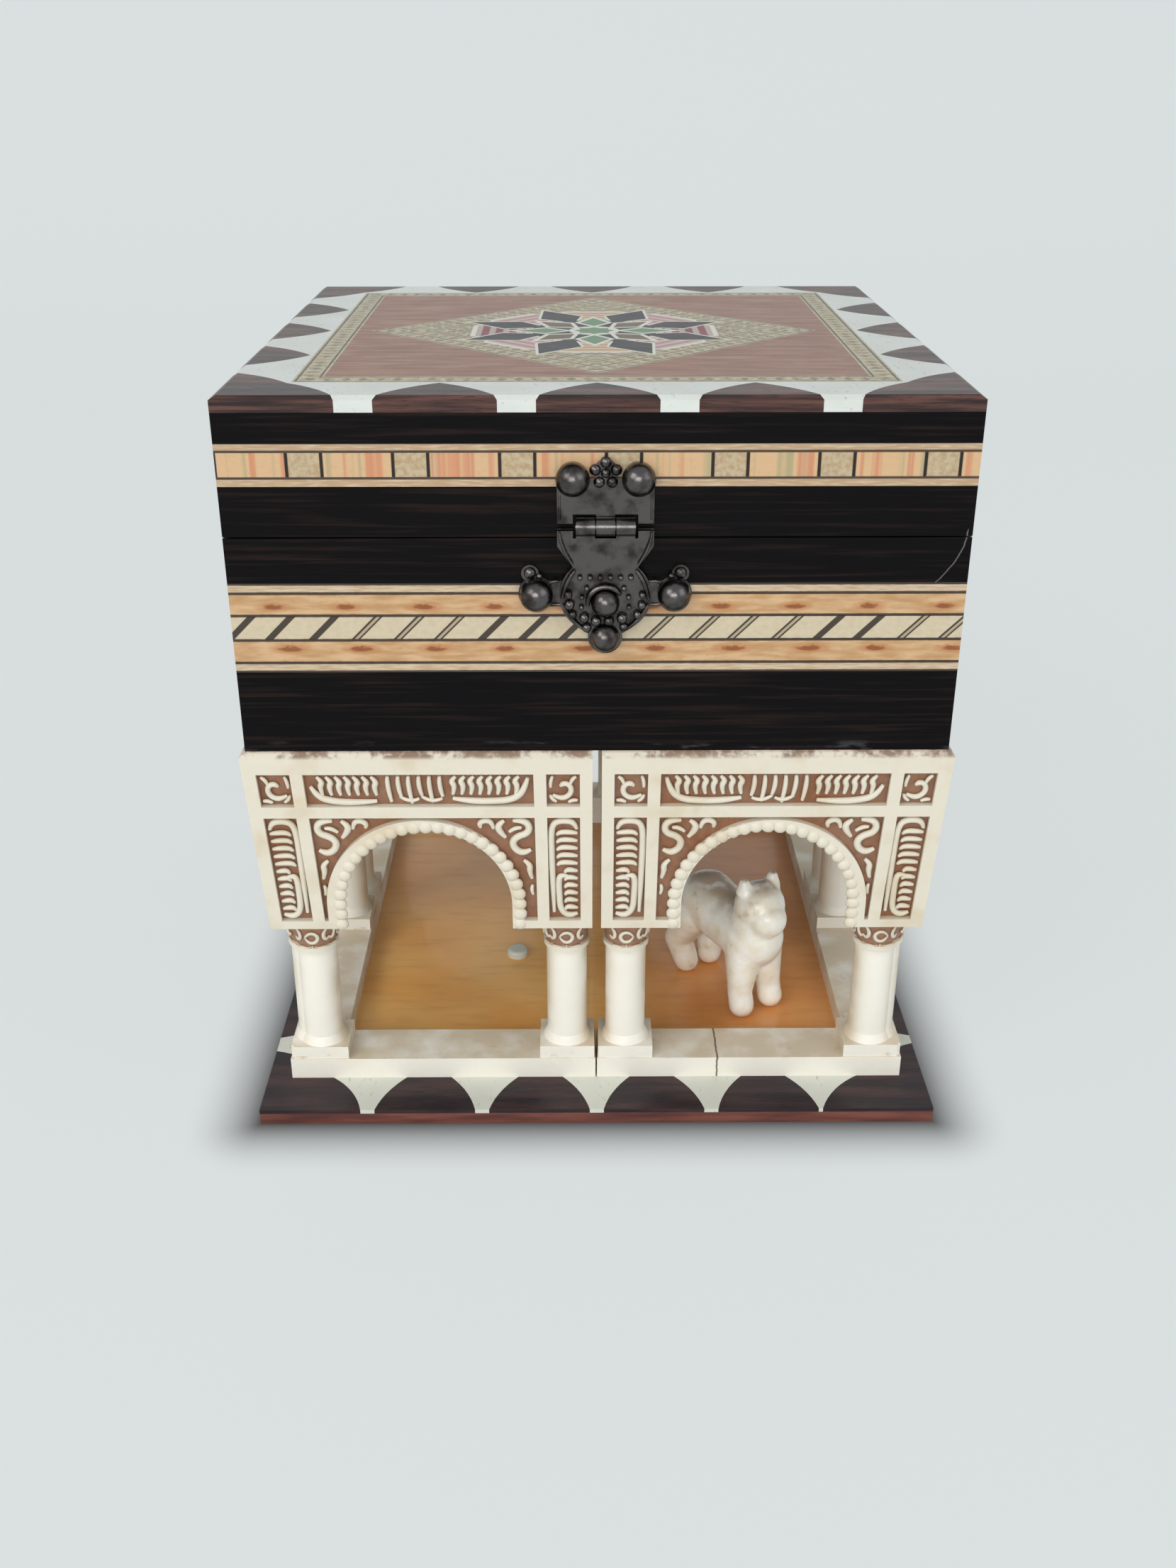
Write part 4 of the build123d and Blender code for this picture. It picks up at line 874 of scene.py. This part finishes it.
def strokes_mesh(name, strokes):
    """Tubes along smooth lines; a stroke is a list of spots in millimetres and the radius at each."""
    curve = bpy.data.curves.new(name, "CURVE")
    curve.dimensions = "3D"
    curve.bevel_depth = MM
    curve.bevel_resolution = 1
    curve.resolution_u = 4
    curve.use_fill_caps = True
    for points, radii in strokes:
        spline = curve.splines.new("NURBS")
        spline.points.add(len(points) - 1)
        for made, point, radius in zip(spline.points, points, radii):
            made.co = (*(Vector(point) * MM), 1.0)
            made.radius = radius
        spline.order_u = 3
        spline.use_endpoint_u = True
    return kept_mesh(linked(name, curve))


def tapered(count, thick):
    """Radii of a stroke: thin at both ends."""
    return [thick * (0.55 if i in (0, count - 1) else 1.0) for i in range(count)]

# %% [markdown]
# A tree of geometry nodes can be built in code. A helper adds each node together with its links, so a
# tree reads as a list of steps: a line becomes spots, the spots become lobes, and the lobes become real
# faces with a material.

# %% Trees of geometry nodes
def new_tree(name, inputs):
    """A tree of geometry nodes: its start, and tools that add a node, add a sum and close the tree."""
    tree = bpy.data.node_groups.new(name, "GeometryNodeTree")
    tree.interface.new_socket("Geometry", in_out="INPUT", socket_type="NodeSocketGeometry")
    tree.interface.new_socket("Geometry", in_out="OUTPUT", socket_type="NodeSocketGeometry")
    for label, kind in inputs.items():
        tree.interface.new_socket(label, in_out="INPUT", socket_type="NodeSocket" + kind)
    start = tree.nodes.new("NodeGroupInput")

    def add(kind, links, **settings):
        """A node with its settings; links give a value or a (node, output) pair for each input."""
        made = tree.nodes.new(kind)
        for key, value in settings.items():
            setattr(made, key, value)
        for key, value in links.items():
            if isinstance(value, tuple):
                tree.links.new(value[0].outputs[value[1]], made.inputs[key])
            else:
                made.inputs[key].default_value = value
        return made

    def maths(operation, *values):
        return add("ShaderNodeMath", dict(enumerate(values)), operation=operation), 0

    def close(last):
        dressed = add("GeometryNodeSetMaterial", {"Geometry": last, "Material": (start, "Material")})
        add("NodeGroupOutput", {"Geometry": (dressed, "Geometry")})
        return tree

    return start, add, maths, close


def lobe_tree():
    """Flattened round lobes set along a line, at an even spacing, with sizes that vary a little."""
    start, add, maths, close = new_tree("lobes along a line", {
        "Spacing": "Float", "Radius": "Float", "Flatness": "Float", "Variation": "Float", "Seed": "Int",
        "Material": "Material"})
    line = add("GeometryNodeMeshToCurve", {"Mesh": (start, "Geometry")})
    spots = add("GeometryNodeResampleCurve", {"Curve": (line, "Curve"), "Length": (start, "Spacing")},
                mode="LENGTH")
    ball = add("GeometryNodeMeshIcoSphere", {"Radius": (start, "Radius"), "Subdivisions": 2})
    smallest = maths("SUBTRACT", 1.0, (start, "Variation"))
    largest = maths("ADD", 1.0, (start, "Variation"))
    size = add("FunctionNodeRandomValue", {2: smallest, 3: largest, "Seed": (start, "Seed")},
               data_type="FLOAT")
    height = maths("MULTIPLY", (size, 1), (start, "Flatness"))
    scale = add("ShaderNodeCombineXYZ", {0: (size, 1), 1: (size, 1), 2: height})
    lobes = add("GeometryNodeInstanceOnPoints",
                {"Points": (spots, "Curve"), "Instance": (ball, "Mesh"), "Scale": (scale, 0)})
    solid = add("GeometryNodeRealizeInstances", {"Geometry": (lobes, "Instances")})
    rounded = add("GeometryNodeSetShadeSmooth", {"Geometry": (solid, "Geometry")})
    return close((rounded, "Geometry"))


def ring_tree():
    """One module's ornament eight times round the box: two for each side, the second one mirrored."""
    start, add, maths, close = new_tree("eight modules round the box", {"Material": "Material"})
    spots = add("GeometryNodePoints", {"Count": 8})
    halved = maths("MULTIPLY", (add("GeometryNodeInputIndex", {}), 0), 0.5)
    turn = add("ShaderNodeCombineXYZ", {2: maths("MULTIPLY", maths("FLOOR", halved), math.pi / 2.0)})
    # 1 for the first module of a side, -1 for the second, which turns it into its mirror image
    flip = maths("MULTIPLY_ADD", maths("FRACT", halved), -4.0, 1.0)
    scale = add("ShaderNodeCombineXYZ", {0: flip, 1: 1.0, 2: 1.0})
    copies = add("GeometryNodeInstanceOnPoints", {"Points": (spots, 0), "Instance": (start, "Geometry"),
                                                  "Rotation": (turn, 0), "Scale": (scale, 0)})
    solid = add("GeometryNodeRealizeInstances", {"Geometry": (copies, "Instances")})
    return close((solid, "Geometry"))

# %% [markdown]
# A tree works as a modifier on a worker object. Its result is kept as a plain mesh and the worker goes,
# so no piece of the box is left with a live modifier.

# %% From a tree to a piece
def grown(name, mesh, tree, **values):
    """Run a tree on a mesh and keep the result as a plain mesh."""
    worker = linked(name, mesh)
    modifier = worker.modifiers.new("grow", "NODES")
    modifier.node_group = tree
    for item in tree.interface.items_tree:
        if item.in_out == "INPUT" and item.name in values:
            modifier[item.identifier] = values[item.name]
    return kept_mesh(worker)


def path_mesh(points):
    """A chain of edges through points in millimetres, as a line for a tree to follow."""
    mesh = bpy.data.meshes.new("path")
    edges = [(i, i + 1) for i in range(len(points) - 1)]
    mesh.from_pydata([Vector(point) * MM for point in points], edges, [])
    return mesh


def joined(name, meshes):
    """Several meshes as one, with all normals outwards."""
    whole = bmesh.new()
    for mesh in meshes:
        whole.from_mesh(mesh)
    bmesh.ops.recalc_face_normals(whole, faces=whole.faces)
    result = bpy.data.meshes.new(name)
    whole.to_mesh(result)
    whole.free()
    result.polygons.foreach_set("use_smooth", [True] * len(result.polygons))
    return result


def finished(name, mesh, material, body):
    """A piece of the scene: its mesh, its finish and the body that it moves with."""
    mesh.materials.clear()
    mesh.materials.append(material)
    piece = linked(name, mesh)
    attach(piece, body)
    print(name, "faces", len(mesh.polygons))
    return piece


lobes_along = lobe_tree()
round_the_ring = ring_tree()

# %% [markdown]
# One module is drawn in the plane of its sloping face: d runs down from the box's underside, and u runs
# from the middle of the side outwards and shrinks a little towards the foot, as the whole block does.
# The upright panels, corner squares and corner scrolls are mirror pairs, so they are drawn once; the
# frieze differs at its two ends.

# %% The carved block
STROKE_DEPTH = 0.74       # the strokes' axis lies this far behind the face
PAIR_SUM = 61.7           # u of a stroke and of its mirror twin add up to this
PANEL_TOP = 12.7
FRIEZE_TOP = 4.1
ARCH_U = PAIR_SUM / 2
ARCH_D = 30.7
ARCH_LINE = 16.1
face_turn = Matrix(((1, 0, 0, 0), (0, -math.sin(lean), -math.cos(lean), 0),
                    (0, math.cos(lean), -math.sin(lean), 0), (0, 0, 0, 1)))
face_matrix = Matrix.Translation((0, -arcade_half * MM, box_z * MM)) @ face_turn


def on_face(u, d, w=-STROKE_DEPTH):
    """A spot in the face's own plane, for a distance from the middle and a depth below the top."""
    narrow = 1.0 - (1.0 - foot_half / arcade_half) * d / block_h
    return (u * narrow, -d / math.cos(lean), w)


def carved_strokes(drawings, top, copies=(False, True)):
    """Strokes of the face from drawings whose d counts from top, each with its mirror twin."""
    made = []
    for spots, thick in drawings:
        for mirrored in copies:
            points = [on_face(PAIR_SUM - u if mirrored else u, d + top) for u, d in spots]
            made.append((points, tapered(len(points), thick)))
    return made

# %% [markdown]
# Each part of the face has its own drawing: its strokes and their thickness. Bars at an even step come
# from loops, and only curls, stems and leaves are drawn point by point.

# %% Drawings of the face
def panel_drawings():
    """A tall hooked stem round a ladder of short bars, and a second hook below."""
    drawn = [([(3.6, 2.6), (4.0, 1.2), (6.0, 0.9), (7.6, 1.3), (8.2, 3.0), (8.2, 7.0), (8.1, 13.0),
               (7.9, 19.9)], 0.62),
             ([(5.3, 12.4), (6.6, 12.0), (7.0, 13.4), (6.9, 16.0), (6.8, 18.9), (6.0, 20.4), (4.6, 20.7),
               (3.5, 20.2)], 0.6)]
    for i in range(11):
        d = 3.3 + 1.56 * i
        end = 6.9 if i < 5 else 5.6
        drawn.append(([(3.5, d + 0.2), (4.2, d), (end, d - 0.1), (end + 0.2, d + 0.55)], 0.52))
    return drawn


def corner_drawings():
    """A curl with a few leaves in each corner square."""
    curl = []
    for i in range(9):
        turn = 0.6 + i * 0.62
        reach_out = 2.25 - 0.2 * i
        curl.append((5.9 + reach_out * math.cos(turn), 3.1 + reach_out * math.sin(turn)))
    leaves = [([(3.6, 0.8), (4.4, 1.2), (4.6, 2.2)], 0.5), ([(7.7, 0.7), (8.2, 1.7), (8.1, 2.9)], 0.48),
              ([(3.4, 5.5), (4.2, 5.3), (5.0, 5.8)], 0.5), ([(7.1, 5.7), (7.9, 5.3), (8.2, 4.4)], 0.48)]
    return [(curl, 0.52)] + leaves


def spandrel_drawings():
    """A double scroll in the upper corner over the arch, with leaves beside and below it."""
    return [([(14.9, 0.9), (13.0, 0.8), (11.9, 2.0), (12.3, 3.5), (14.2, 4.1), (15.2, 5.3), (14.6, 6.9),
              (13.0, 7.6), (11.8, 6.8)], 0.68),
            ([(13.4, 2.4), (14.5, 2.2), (15.6, 3.2)], 0.55),
            ([(16.4, 0.9), (17.6, 1.7), (17.4, 3.1), (16.3, 4.3)], 0.66),
            ([(18.4, 2.5), (18.6, 1.1), (20.0, 0.8), (21.0, 1.6), (20.6, 2.3)], 0.55),
            ([(13.2, 9.0), (12.0, 9.9), (12.3, 11.3), (11.8, 12.8)], 0.6),
            ([(11.7, 14.2), (12.1, 15.0), (11.7, 16.2)], 0.5)]


def frieze_drawings():
    """Two bowls with bars standing in them, and folded loops between."""
    drawn = [([(12.0, 1.0), (12.6, 3.4), (14.6, 5.3), (18.5, 5.6), (22.5, 5.5), (25.2, 5.0)], 0.66),
             ([(38.4, 5.5), (41.6, 5.8), (46.0, 5.6), (48.9, 4.6), (49.7, 2.6)], 0.66)]
    for i in range(8):
        u = 14.0 + 1.56 * i
        drawn.append(([(u - 0.5, 0.7), (u + 0.5, 1.5), (u - 0.3, 2.6), (u + 0.2, 4.2)], 0.55))
    for i in range(7):
        u = 38.6 + 1.56 * i
        drawn.append(([(u + 0.5, 0.7), (u - 0.5, 1.7), (u + 0.2, 2.7), (u - 0.2, 4.3)], 0.55))
    for i, foot in enumerate((4.6, 5.7, 4.4, 5.9, 4.8, 5.6)):
        u = 27.2 + 1.8 * i
        drawn.append(([(u, 0.6), (u + 0.3, 2.4), (u - 0.3, foot)], 0.58))
    drawn.append(([(27.0, 5.0), (28.8, 6.0), (30.6, 4.6)], 0.5))
    drawn.append(([(31.0, 5.0), (32.6, 6.0), (34.4, 4.6)], 0.5))
    return drawn


def arch_line():
    """Middle of the arch's band, from foot to foot, as points in the face's plane."""
    middle, level, w = on_face(ARCH_U, ARCH_D, -0.35)
    foot = level - (block_h - ARCH_D) + 0.9
    points = [(middle - ARCH_LINE, foot, w)]
    for i in range(25):
        angle = math.pi - math.pi * i / 24
        points.append((middle + ARCH_LINE * math.cos(angle), level + ARCH_LINE * math.sin(angle), w))
    points.append((middle + ARCH_LINE, foot, w))
    return points

# %% [markdown]
# The strokes of one module are made flat and then laid on the slope of its block. The ring's tree
# repeats them, and the lobes that edge the arch go the same way.

# %% Carving and lobes round the ring
carved = strokes_mesh("carved strokes", carved_strokes(frieze_drawings(), FRIEZE_TOP, (False,))
                      + carved_strokes(panel_drawings() + spandrel_drawings(), PANEL_TOP)
                      + carved_strokes(corner_drawings(), FRIEZE_TOP))
carved.transform(face_matrix)
carving = joined("arcade carving", [grown("carving", carved, round_the_ring, Material=cast_ivory)])
finished("arcade_carving", carving, cast_ivory, "case")

lobes = grown("lobes", path_mesh(arch_line()), lobes_along, Spacing=2.1 * MM, Radius=1.28 * MM, Flatness=0.6,
              Variation=0.05, Seed=5, Material=cast_ivory)
lobes.transform(face_matrix)
arch_lobes = joined("arch lobes", [grown("arch lobes", lobes, round_the_ring, Material=cast_ivory)])
finished("arch_lobes", arch_lobes, cast_ivory, "case")

# %% [markdown]
# Each capital carries a small ring between two curled leaves on every side that can be seen, brushed
# with the same wash. They are strokes too, wrapped round the bell of the capital, which widens upwards.

# %% Capitals
# A column's place along its side, and the turns of its sides that can be seen
COLUMN_TURNS = ((INNER_COLUMN, (0, 90, 180)), (OUTER_COLUMN, (0, 180, 270)))
BELL_H = 4.6
CAPITAL_STROKE = 0.42


def on_bell(aside, down, out=0.1):
    """A spot on a capital's front: aside from its middle and down from the slab over it."""
    radius = BELL_R - (BELL_R - NECK_R) * down / BELL_H + out
    angle = aside / radius
    return (radius * math.sin(angle), -radius * math.cos(angle), CAPITAL_TOP - down)


def capital_strokes(x, turn):
    ring = [0.0, 1.05, 2.09, 3.14, 4.19, 5.24, 6.28]
    shapes = [[(1.25 * math.cos(a), 2.3 + 1.25 * math.sin(a)) for a in ring]]
    for side in (-1, 1):
        leaf = [(3.3, 0.2), (2.3, 1.0), (2.1, 2.4), (2.8, 3.2), (3.3, 2.4)]
        shapes.append([(side * aside, down) for aside, down in leaf])
        shapes.append([(side * 0.5, 5.0), (side * 1.5, 4.3), (side * 2.6, 4.6)])
    shapes.append([(0.0, 4.0), (0.0, 5.1)])
    spin = Matrix.Translation((x, -COLUMN_LINE, 0)) @ Matrix.Rotation(math.radians(turn), 4, "Z")
    made = []
    for shape in shapes:
        points = [spin @ Vector(on_bell(aside, down)) for aside, down in shape]
        made.append((points, tapered(len(points), CAPITAL_STROKE)))
    return made


capital_lines = []
for column_x, turns in COLUMN_TURNS:
    for turn in turns:
        capital_lines += capital_strokes(column_x, turn)
capital_mesh = strokes_mesh("capital strokes", capital_lines)
capitals = grown("capitals", capital_mesh, round_the_ring, Material=cast_ivory)
finished("capital_ornament", joined("capital ornament", [capitals]), cast_ivory, "case")

# %% [markdown]
# The clasp's ornament is cast with it: a flower between the two upper nails, beads on the shield, a rim
# over the knob and tendrils to the wings. Rows of beads come from the same tree as the arch's lobes.
# The ornament is in three pieces, because the upper plate moves with the lid, the shield swings and the
# wings stay on the box.

# %% Ornament of the clasp
CLASP_X = 1.2
WING_X = 11.15
knob_z = parting_z - 10.2
upper_y = -box_half - 0.8
shield_y = -box_half - 2.45
SHIELD_DOTS = ((-6.0, 8.7, 0.75), (-5.8, 10.4, 0.9), (-5.3, 12.1, 0.7), (6.0, 8.8, 0.6), (5.9, 10.5, 0.7),
               (5.2, 12.1, 0.7), (-3.4, 12.6, 0.85), (-1.5, 13.2, 0.9), (0.6, 13.2, 0.85), (2.7, 12.7, 0.9),
               (-3.0, 14.3, 0.8), (3.0, 14.2, 0.75))
SHIELD_LINES = (([(4.9, -4.7), (6.4, -6.4), (7.0, -9.4)], 0.5),
                ([(6.9, -10.4), (5.6, -13.2), (3.4, -14.6)], 0.42),
                ([(7.3, 1.6), (7.3, -0.6), (5.2, -3.8)], 0.35))
PLATE_LINES = (([(7.3, 7.2), (7.3, 3.2)], 0.34),)
WING_LINES = (([(9.2, -7.5), (8.4, -6.7), (7.4, -7.0)], 0.42),
              ([(9.2, -10.6), (8.2, -11.1), (6.8, -10.7)], 0.42))


def beads(points, spacing, radius, seed):
    """A row of beads along a line in the clasp's plane."""
    return grown("beads", path_mesh([(x, z, 0.0) for x, z in points]), lobes_along, Spacing=spacing * MM,
                 Radius=radius * MM, Flatness=0.8, Variation=0.08, Seed=seed, Material=bronze)


def dots(places):
    """Single beads at chosen places: x, height and radius."""
    shape = bmesh.new()
    for x, z, radius in places:
        stand = Matrix.Translation((x * MM, z * MM, 0)) @ Matrix.Diagonal((1.0, 1.0, 0.85, 1.0))
        bmesh.ops.create_icosphere(shape, subdivisions=2, radius=radius * MM, matrix=stand)
    mesh = bpy.data.meshes.new("dots")
    shape.to_mesh(mesh)
    shape.free()
    return mesh


def upright(name, meshes, y):
    """Join flat drawings and stand them up in front of the box."""
    mesh = joined(name, meshes)
    mesh.transform(Matrix.Translation((CLASP_X * MM, y * MM, 0)) @ Matrix.Rotation(math.pi / 2, 4, "X"))
    return mesh


def arc_points(middle_z, radius, start, end, count):
    """Points on an arc; angles in degrees from the right, counted upwards."""
    points = []
    for i in range(count):
        angle = math.radians(start + (end - start) * i / (count - 1))
        points.append((radius * math.cos(angle), middle_z + radius * math.sin(angle)))
    return points


def clasp_lines(name, lines, others=()):
    """Strokes in the clasp's plane: lines for both sides, with heights from the lid's seam, and others."""
    drawn = list(others)
    for side in (-1, 1):
        drawn += [([(side * x, parting_z + z) for x, z in spots], radius) for spots, radius in lines]
    return strokes_mesh(name, [([(x, z, 0.0) for x, z in spots], tapered(len(spots), radius))
                               for spots, radius in drawn])

# %% [markdown]
# The ornaments of the shield, the upper plate and the wings are drawn flat and stood up in front of the
# box, the shield's further out than the other two.

# %% Shield, plate and wings
def shield_ornament():
    """A row of beads over the knob, two arcs and larger ones at its sides, and a cluster below it."""
    row = [(-4.1, parting_z - 5.9), (4.1, parting_z - 5.9)]
    rim = (arc_points(knob_z, 2.9, 30, 190, 8), 0.5)
    parts = [beads(row, 1.6, 0.45, 11), beads(arc_points(knob_z, 3.9, 140, 215, 7), 1.3, 0.42, 12),
             beads(arc_points(knob_z, 3.9, -35, 40, 7), 1.3, 0.42, 13),
             dots([(x, parting_z - down, radius) for x, down, radius in SHIELD_DOTS]),
             clasp_lines("shield lines", SHIELD_LINES, [rim])]
    return upright("shield ornament", parts, shield_y)


def plate_ornament():
    """A flower of five round petals between the two upper nails, and a raised edge at each side."""
    centre_z = parting_z + 10.7
    petals = [(0.0, centre_z, 0.8)] + [(x, z, 0.95) for x, z in arc_points(centre_z, 1.75, 18, 306, 5)]
    return upright("plate ornament", [dots(petals), clasp_lines("edges", PLATE_LINES)], upper_y)


def wing_ornament():
    """Petals over each wing's nail and a tendril that runs from it to the shield."""
    buds = []
    for side in (-1, 1):
        buds.append((side * (WING_X + 1.0), parting_z - 5.5, 1.05))
        buds.append((side * (WING_X - 0.5), parting_z - 6.1, 0.6))
    return upright("wing ornament", [dots(buds), clasp_lines("wing lines", WING_LINES)], upper_y)


finished("clasp_shield_ornament", shield_ornament(), bronze, "flap")
finished("clasp_flower", plate_ornament(), bronze, "lid")
finished("clasp_wing_ornament", wing_ornament(), bronze, "case")

# %% [markdown]
# The lion is a small glazed casting: soft, glossy and almost white, with brown patches on top of its
# back and between the ears, and painted shade under the belly. The frame's lion is built from balls
# and cones, so its mesh is copied, remeshed finely and relaxed until the joints between them melt away.

# %% The lion
LION_VOXEL = 0.42
LION_RELAX = 9


def lion_finish():
    glaze = Finish("glazed ivory")
    x, y, z = glaze.place()
    facing = glaze.node("ShaderNodeNewGeometry", output="Normal")
    up = glaze.node("ShaderNodeSeparateXYZ", sockets={0: facing}, output="Z")
    h = z - court_z
    patches = glaze.clouds(0.32)
    # Brown in patches on the upward faces of the back and head
    top = glaze.step(up, 0.6, 0.95) * glaze.step(h, 20.0, 22.5) * glaze.step(patches, 0.30, 0.50)
    # Painted shade: brown on the faces that look down, under the belly
    under = glaze.step(up, -0.3, -0.85) * glaze.between(h, 5.0, 17.0, 1.0)
    cheeks = glaze.step(patches, 0.62, 0.76) * 0.3
    base = glaze.blend(patches, 0.3, 0.7, paint(250, 248, 238), paint(240, 232, 212))
    # One brown for the patches on top and for the painted shade under the belly
    wash = glaze.mix(patches, paint(186, 134, 74), paint(128, 80, 44))
    brown_patches_and_painted_shade = glaze.maths("MAXIMUM", glaze.maths("MAXIMUM", top * 0.5, under * 0.6), cheeks)
    base = glaze.mix(brown_patches_and_painted_shade, base, wash)
    return glaze.done(base, 0.24 + 0.1 * patches, patches, 0.0002, Coat_Weight=0.4, Coat_Roughness=0.08,
                      Subsurface_Weight=0.12, Subsurface_Radius=(0.004, 0.003, 0.002))


def relaxed_copy(node, name):
    """The node's mesh, remeshed with fine voxels and relaxed."""
    source = nodes[node]
    mesh = source.data.copy()
    mesh.transform(source.matrix_world)
    worker = linked(name, mesh)
    remesh = worker.modifiers.new("remesh", "REMESH")
    remesh.mode = "VOXEL"
    remesh.voxel_size = LION_VOXEL * MM
    relax = worker.modifiers.new("relax", "SMOOTH")
    relax.factor = 0.5
    relax.iterations = LION_RELAX
    result = kept_mesh(worker)
    result.polygons.foreach_set("use_smooth", [True] * len(result.polygons))
    return result


lion = finished("lion_casting", relaxed_copy("courtyard_lion", "lion"), lion_finish(), "case")
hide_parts("courtyard_lion")

# %% [markdown]
# The tray and the lid are lined with thin red felt. Felt that is cut by hand never lies dead flat: it
# ripples a little on the walls, and its upper edge wavers. The tray's lining is one cross-shaped cut,
# folded up at the walls.

# %% Felt linings
FELT_T = 0.7
FELT_STEP = 2.5
lining_low, lining_high = reach("body_lining")
divider_front = reach("compartment_divider")[0].y
divider_right = reach("compartment_divider")[1].x
lid_lining_low, lid_lining_high = reach("lid_lining")


def felt_sheet(start, across, along, inward, seed):
    """A rippled sheet from a corner, its two sides as vectors, in millimetres; inward is its facing."""
    start, across, along, inward = Vector(start), Vector(across), Vector(along), Vector(inward)
    columns = max(2, round(across.length / FELT_STEP))
    rows = max(2, round(along.length / FELT_STEP))
    spots = []
    for j in range(rows + 1):
        for i in range(columns + 1):
            s = i / columns * across.length
            t = j / rows * along.length
            ripple = 0.07 * math.sin(0.31 * s + seed) * math.sin(0.23 * t + 2.0 * seed)
            waver = 0.22 * math.sin(0.19 * s + seed) * (j == rows)
            spot = start + across.normalized() * s + along.normalized() * (t - abs(waver)) + inward * ripple
            spots.append(spot * MM)
    faces = []
    for j in range(rows):
        for i in range(columns):
            first = j * (columns + 1) + i
            faces.append((first, first + 1, first + columns + 2, first + columns + 1))
    mesh = bpy.data.meshes.new("felt")
    mesh.from_pydata(spots, [], faces)
    return mesh


def thickened(name, meshes):
    """Flat sheets given the felt's thickness, half to each side."""
    worker = linked(name, joined(name, meshes))
    thick = worker.modifiers.new("thickness", "SOLIDIFY")
    thick.thickness = FELT_T * MM
    thick.offset = 0.0
    return kept_mesh(worker)

# %% [markdown]
# The tray's lining is six rippled sheets, one for each stretch of floor and wall, and the lid's is one.
# For each lining the size of its cut is worked out: the area of the tray's sheets, and the width and length
# of the lid's.

# %% The two linings
def tray_felt():
    inset = 0.46      # half the felt's thickness, its ripple and a little air
    edge = lining_high.x - inset
    floor_z = lining_low.z + inset - 0.06
    foot = floor_z + 0.2
    high = (0, 0, lining_high.z - foot)
    up = (0, 0, 1)
    right = divider_right + inset
    sheets = [felt_sheet((-edge, -edge, floor_z), (2 * edge, 0, 0), (0, divider_front + edge, 0), up, 1.0),
              felt_sheet((right, divider_front, floor_z), (edge - right, 0, 0),
                         (0, edge - divider_front, 0), up, 2.0),
              felt_sheet((-edge, -edge, foot), (2 * edge, 0, 0), high, (0, 1, 0), 3.0),
              felt_sheet((-edge, -edge, foot), (0, divider_front + edge, 0), high, (1, 0, 0), 4.0),
              felt_sheet((edge, -edge, foot), (0, 2 * edge, 0), high, (-1, 0, 0), 5.0),
              felt_sheet((right, edge, foot), (edge - right, 0, 0), high, (0, -1, 0), 6.0)]
    area = sum(sum(face.area for face in sheet.polygons) for sheet in sheets)
    return thickened("tray felt", sheets), area


def lid_felt():
    low, high = lid_lining_low, lid_lining_high
    width = high.x - low.x
    length = high.y - low.y
    sheet = felt_sheet((low.x, low.y, (low.z + high.z) / 2), (width, 0, 0), (0, length, 0), (0, 0, 1), 7.0)
    return thickened("lid felt", [sheet]), (width * MM, length * MM)


tray_mesh, tray_area = tray_felt()
tray_lining = finished("tray_felt", tray_mesh, red_felt, "case")
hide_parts("body_lining")
lid_mesh, lid_cut = lid_felt()
lid_cover = finished("lid_felt", lid_mesh, red_felt, "lid")
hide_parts("lid_lining")
